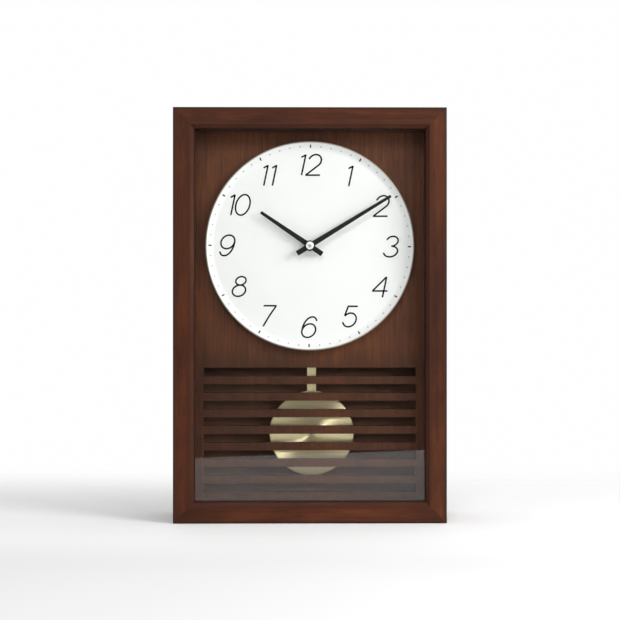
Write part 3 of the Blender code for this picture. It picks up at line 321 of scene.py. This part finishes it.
def plain_wood(name, grain):
    """The darker wood inside the case."""
    look = Look(name, roughness=0.5)
    colour, height = wood_colour(look, INNER_DARK, INNER_LIGHT, grain, 30.0)
    look.link(colour, "Base Color")
    look.bump(height, WOOD_TEXTURE, 0.5)
    return look.material


def panel_veneer():
    """The dial board's veneer with painted shade, darker low down, near the top and to the left,
    where the case shades it.
    """
    look = Look("panel_veneer", roughness=0.46, specular_ior_level=0.25)
    colour, height = wood_colour(look, PANEL_DARK, PANEL_LIGHT, "Z", 11.0)
    place = look.add("SeparateXYZ", {0: look.position}).outputs
    low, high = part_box("dial_board")
    level = look.spread(place["Z"], low.z, high.z)
    across = look.spread(place["X"], low.x, high.x)
    # Painted shade: darker over the slats, towards the top and to the left.
    colour = look.tint(colour, level, (0.31, 0.54), (0.38, 0.84), (0.6, 0.93), (0.9, 0.84))
    colour = look.tint(colour, across, (0.1, 0.91), (0.75, 1.13), (1.0, 1.08))
    look.link(colour, "Base Color")
    look.link(look.spread(look.noise(160.0, 3.0), 0.3, 0.7, 0.42, 0.54), "Roughness")
    look.bump(height, WOOD_TEXTURE, 0.5)
    return look.material


def fibreboard():
    look = Look("fibreboard", roughness=0.8)
    fibres = look.noise(900.0, 4.0, 0.7)
    colour = look.ramp(fibres, (0.3, FIBRE_DARK), (0.7, FIBRE_LIGHT))
    look.link(look.tint(colour, look.noise(18.0), (0.3, 0.8), (0.7, 1.15)), "Base Color")
    look.bump(fibres, 0.08 * MM, 0.6)
    return look.material


# ---------------------------------------------------------------- glass, plastics and metals

def clear_glass():
    """Thin clear glass: light passes straight through, and each face mirrors a Fresnel share."""
    look = Look("clear_glass")
    facing = look.add("LayerWeight", {"Blend": 0.5}).outputs["Facing"]
    steep = look.math("POWER", facing, FRESNEL_POWER)
    grazing = look.math("MULTIPLY", steep, 1.0 - HEAD_ON_MIRROR)
    fresnel = look.math("ADD", grazing, HEAD_ON_MIRROR)
    through = look.add("BsdfTransparent", {"Color": GLASS_TINT}).outputs[0]
    mirrored = look.add("BsdfGlossy", {"Roughness": 0.0}).outputs[0]
    look.tree.nodes.remove(look.shader)
    look.finish_with(look.add("MixShader", {0: fresnel, 1: through, 2: mirrored}).outputs[0])
    return look.material


def speckled(name, dark, light, scale, bump, **settings):
    """An even material with fine mottling and a matching surface texture."""
    look = Look(name, **settings)
    grains = look.noise(scale, 3.0, 0.6)
    look.link(look.ramp(grains, (0.3, dark), (0.7, light)), "Base Color")
    look.bump(grains, bump, 0.5)
    return look.material


def white_paint(name):
    """The look of the dial's paint and its faintly uneven white."""
    look = Look(name, roughness=0.42, specular_ior_level=0.25)
    white = look.ramp(look.noise(40.0), (0.3, PAINT_DARK), (0.7, PAINT_LIGHT))
    look.bump(look.noise(2200.0), FINE_TEXTURE, 0.4)
    return look, white


def dial_paint():
    look, white = white_paint("dial_paint")
    look.link(white, "Base Color")
    return look.material


def edged_paint(crest):
    """The dial's paint, darkening to a warm grey over the rolled edge beyond the crest: painted
    shade on the roll's side.
    """
    look, white = white_paint("edged_paint")
    beyond = look.spread(look.radius(), crest - 0.3 * MM, crest + 0.5 * MM)
    look.link(look.mix(beyond, white, RIM_SHADE), "Base Color")
    return look.material


def brushed_metal(name, dark, light, stretch, roughness, scale=1800.0):
    """Metal with fine brush lines, whose stretch is small along the direction of brushing."""
    look = Look(name, metallic=1.0)
    lines = look.noise(scale, 3.0, 0.6, stretch)
    look.link(look.ramp(lines, (0.3, dark), (0.7, light)), "Base Color")
    look.link(look.spread(lines, 0.3, 0.7, roughness - 0.06, roughness + 0.06), "Roughness")
    look.bump(lines, FINE_TEXTURE, 0.4)
    return look.material


def turned_brass():
    """Brass faced on a lathe: fine rings, which spread each highlight along the radius."""
    look = Look("turned_brass", metallic=1.0, anisotropic=1.0, anisotropic_rotation=0.25)
    inputs = {"W": look.radius(), "Scale": 1600.0, "Detail": 3.0}
    rings = look.add("TexNoise", inputs, noise_dimensions="1D").outputs["Fac"]
    look.link(look.ramp(rings, (0.3, BOB_DARK), (0.7, BOB_LIGHT)), "Base Color")
    look.link(look.spread(rings, 0.3, 0.7, 0.37, 0.41), "Roughness")
    look.link(look.add("Tangent", direction_type="RADIAL", axis="Z").outputs[0], "Tangent")
    look.bump(rings, FINE_TEXTURE, 0.25)
    return look.material


def turned_cap():
    """A satin cap with a bright rim round a greyer middle: a painted reflection in the base colour.
    """
    look = Look("turned_cap", metallic=1.0, roughness=0.38)
    low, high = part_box("hand_cap")
    outward = look.spread(look.radius(), 0.0, (high.x - low.x) / 2)
    # Painted reflection: bright greys on the rim, darker greys in the middle.
    stops = ((0.1, 0.3), (0.2, 0.5), (0.46, 0.46), (0.56, 0.86))
    tone = look.ramp(outward, *[(place, grey(brightness)) for place, brightness in stops])
    look.link(tone, "Base Color")
    look.bump(look.noise(700.0), FINE_TEXTURE, 0.3)
    return look.material


def coil_winding(name, axis):
    """Enamelled copper wire, with the turns showing as ridges across the coil's axis."""
    look = Look(name, metallic=1.0, roughness=0.34)
    inputs = {"Vector": look.position, "Scale": 900.0, "Distortion": 0.4, "Detail": 1.0}
    turns = look.add("TexWave", inputs, bands_direction=axis).outputs["Fac"]
    look.link(look.ramp(turns, (0.1, (0.22, 0.07, 0.03)), (0.8, (0.66, 0.27, 0.12))), "Base Color")
    look.bump(turns, 0.08 * MM, 0.8)
    return look.material


def circuit_laminate():
    """Green laminate with paler tracks under the lacquer."""
    look = Look("circuit_laminate", roughness=0.35, coat_weight=0.3)
    inputs = {"Vector": look.position, "Scale": 240.0, "Randomness": 0.35}
    cells = look.add("TexVoronoi", inputs, feature="DISTANCE_TO_EDGE", distance="MANHATTAN")
    cells = cells.outputs[0]
    track, ground = (0.05, 0.2, 0.09), (0.015, 0.1, 0.045)
    look.link(look.ramp(cells, (0.06, track), (0.12, ground)), "Base Color")
    look.bump(cells, 0.03 * MM, 0.3)
    return look.material


def battery_sleeve():
    """A metallised sleeve in grey with a copper-coloured band at the positive end."""
    low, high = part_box("battery")
    look = Look("battery_sleeve", metallic=0.6, roughness=0.32)
    across = look.add("SeparateXYZ", {0: look.position}).outputs["X"]
    band_start = high.x - (high.x - low.x) * 0.3
    band = look.spread(across, band_start, band_start + 0.3 * MM)
    scuffs = look.noise(700.0, 3.0, 0.6, (0.2, 1, 1))
    body = look.ramp(scuffs, (0.3, (0.07, 0.075, 0.08)), (0.7, (0.11, 0.115, 0.12)))
    end = look.ramp(scuffs, (0.3, (0.4, 0.2, 0.09)), (0.7, (0.5, 0.27, 0.13)))
    look.link(look.mix(band, body, end), "Base Color")
    look.bump(scuffs, 0.02 * MM, 0.4)
    return look.material


def slot_materials():
    """The material of each slot of the record, apart from the case's woods."""
    lacquer = {"roughness": 0.5, "specular_ior_level": 0.2}
    nylon_dark, nylon_light = (0.74, 0.71, 0.62), (0.82, 0.79, 0.7)
    nylon = {"roughness": 0.42, "subsurface_weight": 0.1, "subsurface_scale": 1 * MM}
    level, upright = (0.2, 1, 1), (1, 1, 0.05)
    plastic_texture = 0.05 * MM
    return {
        "panel_wood": panel_veneer(),
        "fibreboard": fibreboard(),
        "glass": clear_glass(),
        "dial_white": dial_paint(),
        "hands_black": speckled(
            "hand_lacquer", grey(0.004), grey(0.007), 1200.0, 0.02 * MM, **lacquer
        ),
        "cap_steel": turned_cap(),
        "zinc_steel": brushed_metal("zinc_steel", STEEL_DARK, STEEL_LIGHT, level, 0.34, 900.0),
        "brass": brushed_metal("brushed_brass", BRASS_DARK, BRASS_LIGHT, upright, 0.34, 900.0),
        "black_plastic": speckled(
            "black_plastic", grey(0.014), grey(0.024), 1500.0, plastic_texture, roughness=0.5
        ),
        "nylon": speckled(
            "natural_nylon", nylon_dark, nylon_light, 400.0, 0.02 * MM, **nylon
        ),
        "copper": coil_winding("motor_winding", "Z"),
        "magnet": speckled("ferrite", grey(0.03), grey(0.055), 1800.0, 0.04 * MM, roughness=0.6),
        "circuit_green": circuit_laminate(),
        "crystal_can": brushed_metal("crystal_can", grey(0.6), grey(0.72), (0.1, 1, 1), 0.18),
        "battery_sleeve": battery_sleeve(),
    }


# ---------------------------------------------------------------- meshes

def add_piece(name, shape, material, body="case", origin=(0.0, 0.0, 0.0)):
    """A new piece from a bmesh drawn as seen from the front, placed with its origin here."""
    bmesh.ops.recalc_face_normals(shape, faces=shape.faces)
    mesh = bpy.data.meshes.new(name)
    shape.to_mesh(mesh)
    shape.free()
    mesh.materials.append(material)
    piece = bpy.data.objects.new(name, mesh)
    bpy.context.scene.collection.objects.link(piece)
    piece.rotation_euler = (math.pi / 2, 0.0, 0.0)
    piece.location = origin
    bpy.context.view_layer.update()
    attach(piece, body)
    return piece


def lathe(profile, steps, closed=False):
    """A bmesh swept round local z from (radius, height) points; one on the axis is one vertex."""
    shape = bmesh.new()
    angles = [2 * math.pi * step / steps for step in range(steps)]
    rings = []
    for radius, height in profile:
        if radius == 0.0:
            rings.append([shape.verts.new((0.0, 0.0, height))] * steps)
            continue
        around = [(radius * math.cos(angle), radius * math.sin(angle)) for angle in angles]
        rings.append([shape.verts.new((x, y, height)) for x, y in around])
    pairs = list(zip(rings, rings[1:]))
    if closed:
        pairs.append((rings[-1], rings[0]))
    for upper, lower in pairs:
        for step in range(steps):
            after = (step + 1) % steps
            corners = [upper[step], upper[after], lower[after], lower[step]]
            shape.faces.new(list(dict.fromkeys(corners)))
    return shape


def smooth(piece, degrees=35):
    piece.data.shade_smooth()
    piece.data.set_sharp_from_angle(angle=math.radians(degrees))


def ink_strip(shape, points, width):
    """A strip of ink this wide along points, each (right, up, height of the surface below it)."""
    sections = []
    for index, (x, y, height) in enumerate(points):
        before = Vector(points[max(index - 1, 0)][:2])
        after = Vector(points[min(index + 1, len(points) - 1)][:2])
        along = (after - before).normalized()
        side = Vector((-along.y, along.x)) * width / 2
        corners = []
        for sign, lift in ((-1, -1), (1, -1), (1, 1), (-1, 1)):
            level = height + lift * INK_THICKNESS
            corners.append(shape.verts.new((x + sign * side.x, y + sign * side.y, level)))
        sections.append(corners)
    for first, second in zip(sections, sections[1:]):
        for corner in range(4):
            after = (corner + 1) % 4
            shape.faces.new((first[corner], first[after], second[after], second[corner]))
    shape.faces.new(sections[0])
    shape.faces.new(sections[-1])


# ---------------------------------------------------------------- numerals

def arc(centre, radius, start, end, steps=28, squeeze=1.0):
    """Points from one angle in degrees to another; squeeze narrows the arc across."""
    points = []
    for step in range(steps + 1):
        angle = math.radians(start + (end - start) * step / steps)
        x = centre[0] + squeeze * radius * math.cos(angle)
        points.append((x, centre[1] + radius * math.sin(angle)))
    return points


def turned_about(strokes, width):
    """Strokes turned upside down within a box of this width and unit height."""
    return [[(width - x, 1.0 - y) for x, y in stroke] for stroke in strokes]


def six_strokes():
    """A hook from the upper right over the top and down the left side, and the round bowl."""
    hook = arc((0.38, 0.72), 0.28, 15, 90, 12, 0.89) + arc((0.38, 0.42), 0.58, 90, 180, 24, 0.655)
    return [hook + [(0.0, 0.33)], arc((0.33, 0.33), 0.33, 180, 540, 44)]


# Each digit's strokes, before the slant, in a box one unit high
DIGITS = {
    "0": [arc((0.28, 0.5), 0.5, 90, 450, 48, 0.68)],
    "1": [[(0.22, 0.0), (0.22, 1.0)], [(0.23, 0.985), (0.03, 0.865)]],
    "2": [arc((0.305, 0.69), 0.31, 165, -35) + [(0.0, 0.0)], [(-0.02, 0.0), (0.70, 0.0)]],
    "3": [
        arc((0.31, 0.76), 0.24, 165, -90, squeeze=1.17),
        arc((0.33, 0.26), 0.26, 90, -168, squeeze=1.29),
    ],
    "4": [[(0.55, 1.0), (0.55, 0.0)], [(0.54, 0.99), (0.0, 0.31)], [(-0.02, 0.31), (0.73, 0.31)]],
    "5": [
        [(0.09, 1.0), (0.58, 1.0)],
        [(0.11, 1.0), (0.035, 0.53)],
        arc((0.31, 0.335), 0.335, 146, -162, squeeze=0.955),
    ],
    "6": six_strokes(),
    "7": [[(0.0, 1.0), (0.63, 1.0)], [(0.62, 1.0), (0.38, 0.5), (0.19, 0.0)]],
    "8": [
        arc((0.312, 0.755), 0.205, -90, 270, 40, 1.2),
        arc((0.3175, 0.275), 0.275, 90, 450, 40, 1.155),
    ],
    "9": turned_about(six_strokes(), 0.66),
}


def numeral_strokes(hour):
    """The slanted strokes of an hour's digits at full size, centred on the origin."""
    strokes = []
    for place, digit in enumerate(str(hour)):
        for stroke in DIGITS[digit]:
            moved = [(x + place * DIGIT_ADVANCE + NUMERAL_SLANT * y, y) for x, y in stroke]
            strokes.append([(x * NUMERAL_HEIGHT, y * NUMERAL_HEIGHT) for x, y in moved])
    lefts = [x for stroke in strokes for x, _ in stroke]
    middle = (min(lefts) + max(lefts)) / 2
    return [[(x - middle, y - NUMERAL_HEIGHT / 2) for x, y in stroke] for stroke in strokes]


def build_numerals(centre, face_forward, ink):
    for hour in range(1, 13):
        angle = math.radians(30 * hour + PRINT_TURN)
        right = NUMERAL_RADIUS * math.sin(angle) + NUMERAL_NUDGES.get(hour, 0.0)
        up = NUMERAL_RADIUS * math.cos(angle)
        shape = bmesh.new()
        for stroke in numeral_strokes(hour):
            ink_strip(shape, [(x + right, y + up, face_forward) for x, y in stroke], NUMERAL_STROKE)
        add_piece(f"numeral_{hour}", shape, ink, origin=centre)


# ---------------------------------------------------------------- dial

class Dial:
    """The dial's sizes, read from the frame. Forward is measured from the case's middle plane."""

    def __init__(self):
        ring_low, ring_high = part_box("dial_ring")
        face_low, face_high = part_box("dial_plate")
        self.centre = (0.0, 0.0, (ring_low.z + ring_high.z) / 2)
        self.radius = (ring_high.x - ring_low.x) / 2
        self.back = -ring_high.y
        self.crest_forward = -ring_low.y
        self.face_radius = (face_high.x - face_low.x) / 2 + FACE_GAP
        self.face_forward = -face_low.y
        self.face_back = -face_high.y
        self.crest_radius = self.radius - RIM_ROLL
        self.ledge_radius = self.face_radius - RIM_LEDGE

    def band_forward(self, radius):
        """The sloping band's height: a hollow curve from the face up to the crest."""
        along = (radius - self.face_radius) / (self.crest_radius - self.face_radius)
        return self.face_forward + (self.crest_forward - self.face_forward) * along ** BAND_CURVE


def build_dial(dial, paint):
    """The ring with its sloping band, rolled edge and rear ledge, and the flat face inside it."""
    band_steps, roll_steps = 16, 8
    profile = []
    for step in range(band_steps + 1):
        radius = dial.face_radius + (dial.crest_radius - dial.face_radius) * step / band_steps
        profile.append((radius, dial.band_forward(radius)))
    roll = dial.radius - dial.crest_radius
    for step in range(1, roll_steps + 1):
        angle = math.pi / 2 * step / roll_steps
        height = dial.crest_forward - roll * (1 - math.cos(angle))
        profile.append((dial.crest_radius + roll * math.sin(angle), height))
    ledge = dial.face_back - FACE_GAP
    profile += [(dial.radius, dial.back), (dial.ledge_radius, dial.back)]
    profile += [(dial.ledge_radius, ledge), (dial.face_radius, ledge)]
    shape = lathe(profile, DIAL_STEPS, closed=True)
    rim_paint = edged_paint(dial.crest_radius)
    ring = add_piece("dial_rim", shape, rim_paint, origin=dial.centre)
    smooth(ring)
    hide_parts("dial_ring")
    profile = [(FACE_HOLE, dial.face_forward), (dial.face_radius, dial.face_forward)]
    profile += [(dial.face_radius, dial.face_back), (FACE_HOLE, dial.face_back)]
    shape = lathe(profile, DIAL_STEPS, closed=True)
    face = add_piece("dial_face", shape, paint, origin=dial.centre)
    smooth(face)
    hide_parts("dial_plate")


def build_minute_track(dial, ink, pale_ink):
    """A bar at each hour and a pale dot at each minute between, on the sloping band."""
    bar_radii = [TICK_INNER + (TICK_OUTER - TICK_INNER) * step / 6 for step in range(7)]
    dot_radii = [DOT_PLACE + DOT_RADIUS * step / 2 for step in range(-2, 3)]
    bars, dots = bmesh.new(), bmesh.new()
    for minute in range(60):
        angle = math.radians(6 * minute + PRINT_TURN)
        right, up = math.sin(angle), math.cos(angle)
        if minute % 5 == 0:
            shape, radii, width = bars, bar_radii, TICK_WIDTH
        else:
            shape, radii, width = dots, dot_radii, 2 * DOT_RADIUS
        points = [(right * radius, up * radius, dial.band_forward(radius)) for radius in radii]
        ink_strip(shape, points, width)
    add_piece("hour_bars", bars, ink, origin=dial.centre)
    add_piece("minute_dots", dots, pale_ink, origin=dial.centre)


def front_size(low, high):
    """The rear middle, half width and depth of the box between these corners."""
    centre = ((low.x + high.x) / 2, high.y, (low.z + high.z) / 2)
    return centre, (high.x - low.x) / 2, high.y - low.y


def build_cap(metal):
    """A turned cap: a raised rim round a slightly domed middle, and a socket behind."""
    centre, radius, height = front_size(*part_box("hand_cap"))
    profile = [
        (0.0, 0.92 * height),
        (0.35 * radius, 0.9 * height),
        (0.6 * radius, 0.84 * height),
        (0.66 * radius, 0.8 * height),
        (0.7 * radius, 0.94 * height),
        (0.78 * radius, height),
        (0.88 * radius, 0.96 * height),
        (0.96 * radius, 0.8 * height),
        (radius, 0.55 * height),
        (radius, 0.0),
        (0.4 * radius, 0.0),
        (0.4 * radius, 0.4 * height),
        (0.0, 0.4 * height),
    ]
    cap = add_piece("centre_cap", lathe(profile, 64), metal, "minute_hand", centre)
    smooth(cap, 50)
    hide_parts("hand_cap")


# ---------------------------------------------------------------- pendulum

def build_bob(metal):
    """A spun disc with a rolled edge, hollow behind, and the stud that the nut holds."""
    centre, radius, front = front_size(*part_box("pendulum_bob"))
    rim, sheet, fall = 1.2 * MM, 0.9 * MM, 0.12 * MM
    disc_back = front - 3.2 * MM
    stud, boss, boss_back = 1.5 * MM, 3.5 * MM, front - 3.3 * MM
    face_step, face_rings, roll_steps = 0.02, 47, 6
    profile = [(radius * face_step * step, front) for step in range(face_rings)]
    profile += [(radius - 1.6 * rim, front - fall)]
    for step in range(roll_steps + 1):
        angle = math.pi / 2 * step / roll_steps
        profile.append((radius - rim * (1 - math.sin(angle)), front - rim * (1 - math.cos(angle))))
    profile += [
        (radius, disc_back),
        (radius - sheet, disc_back),
        (radius - sheet, front - rim - sheet / 2),
        (radius - 2 * rim, front - sheet),
        (boss, front - sheet),
        (boss, boss_back),
        (stud, boss_back),
        (stud, 0.0),
        (0.0, 0.0),
    ]
    bob = add_piece("bob_disc", lathe(profile, 192), metal, "pendulum", centre)
    smooth(bob, 30)
    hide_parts("pendulum_bob")


# ---------------------------------------------------------------- studio

def floor_material():
    """Pale seamless paper with painted shade, darker in front, that gives way to the white
    background behind.
    """
    look = Look("floor_paper", roughness=0.9, specular_ior_level=0.1)
    tone = look.ramp(look.noise(3.0), (0.3, grey(0.91)), (0.7, grey(0.93)))
    depth = look.add("SeparateXYZ", {0: look.position}).outputs["Y"]
    # Painted shade: the paper darker towards the front.
    tone = look.tint(tone, look.spread(depth, *FLOOR_SHADE), (0.0, FLOOR_NEAR), (1.0, 1.0))
    look.link(tone, "Base Color")
    fade = look.spread(depth, *FLOOR_FADE)
    clear = look.add("BsdfTransparent").outputs[0]
    paper = look.shader.outputs[0]
    look.finish_with(look.add("MixShader", {0: fade, 1: paper, 2: clear}).outputs[0])
    return look.material


def build_floor():
    """The floor stops short of the camera, so the glass mirrors it only in its lower part."""
    front = [(x, FLOOR_FRONT + FLOOR_FRONT_SLOPE * x) for x in (-FLOOR_REACH, FLOOR_REACH)]
    back = [(FLOOR_REACH, FLOOR_REACH), (-FLOOR_REACH, FLOOR_REACH)]
    points = [(x, y, -FLOOR_DROP) for x, y in front + back]
    mesh = bpy.data.meshes.new("floor")
    mesh.from_pydata(points, [], [(0, 1, 2, 3)])
    mesh.materials.append(floor_material())
    floor = bpy.data.objects.new("floor", mesh)
    bpy.context.scene.collection.objects.link(floor)


def build_world():
    """White to the camera, soft and even on surfaces, paler in gloss and dark in the glass."""
    world = bpy.data.worlds.new("studio")
    world.use_nodes = True
    bpy.context.scene.world = world
    nodes, links = world.node_tree.nodes, world.node_tree.links
    path = nodes.new("ShaderNodeLightPath")

    def even(value):
        shade = nodes.new("ShaderNodeBackground")
        shade.inputs["Color"].default_value = (value, value, value, 1.0)
        return shade.outputs[0]

    def by_ray(kind, others, these):
        mix = nodes.new("ShaderNodeMixShader")
        links.new(path.outputs[kind], mix.inputs[0])
        links.new(others, mix.inputs[1])
        links.new(these, mix.inputs[2])
        return mix.outputs[0]

    mirrored = by_ray("Is Singular Ray", even(GLOSSY_ROOM), even(DARK_ROOM))
    reflected = by_ray("Is Glossy Ray", even(AMBIENT), mirrored)
    seen = by_ray("Is Camera Ray", reflected, even(BACKGROUND_WHITE))
    links.new(seen, nodes["World Output"].inputs["Surface"])


def build_lights():
    for name, (place, target, size, power) in LIGHTS.items():
        light = bpy.data.lights.new(name, "AREA")
        light.shape = "DISK"
        light.size = size
        light.energy = power
        lamp = bpy.data.objects.new(name, light)
        lamp.location = place
        aim = Vector(target) - Vector(place)
        lamp.rotation_euler = aim.to_track_quat("-Z", "Y").to_euler()
        bpy.context.scene.collection.objects.link(lamp)


def build_camera():
    camera = bpy.data.cameras.new("camera")
    camera.lens = LENS
    camera.sensor_width = SENSOR_WIDTH
    rig = bpy.data.objects.new("camera", camera)
    rig.location = (CAMERA_RIGHT, REST_LOW.y - CAMERA_DISTANCE, CAMERA_UP)
    rig.rotation_euler = (math.pi / 2, 0.0, -CAMERA_YAW)
    bpy.context.scene.collection.objects.link(rig)
    bpy.context.scene.camera = rig
    bpy.context.scene.view_settings.view_transform = "Standard"


# ---------------------------------------------------------------- assembly

def ease_edges(board):
    """Takes the sharpness off a board's arrises, as sanding does."""
    easing = board.modifiers.new("eased_edges", "BEVEL")
    easing.width = EASED_EDGE
    easing.segments = 2
    easing.limit_method = "ANGLE"
    easing.angle_limit = math.radians(40)


def paint_nodes(materials):
    """Gives every node the material of its slot, and each wooden piece its grain direction."""
    upright = walnut_board("walnut_upright", "Z", "X")
    level = walnut_board("walnut_level", "X", "Z")
    inner_upright = plain_wood("inner_wood_upright", "Z")
    inner_level = plain_wood("inner_wood_level", "X")
    for name, node in NODES.items():
        if name in ("case_left_side", "case_right_side"):
            material = upright
        elif name in ("case_top", "case_bottom"):
            material = level
        elif name in ("spacer_top", "spacer_bottom"):
            material = inner_level
        elif SLOT_OF[name] == "walnut":
            material = inner_upright
        else:
            material = materials[SLOT_OF[name]]
        node.data.materials.clear()
        node.data.materials.append(material)
        if material in (upright, level):
            ease_edges(node)


def build_scene():
    materials = slot_materials()
    paint_nodes(materials)
    dial = Dial()
    matt = {"roughness": 0.6, "specular_ior_level": 0.1}
    ink = speckled("black_ink", grey(0.003), grey(0.006), 900.0, FINE_TEXTURE, **matt)
    pale_ink = speckled("grey_ink", grey(0.1), grey(0.16), 900.0, FINE_TEXTURE, roughness=0.5)
    build_dial(dial, materials["dial_white"])
    build_numerals(dial.centre, dial.face_forward, ink)
    build_minute_track(dial, ink, pale_ink)
    build_cap(materials["cap_steel"])
    build_bob(turned_brass())
    build_floor()
    build_world()
    build_lights()
    build_camera()


build_scene()
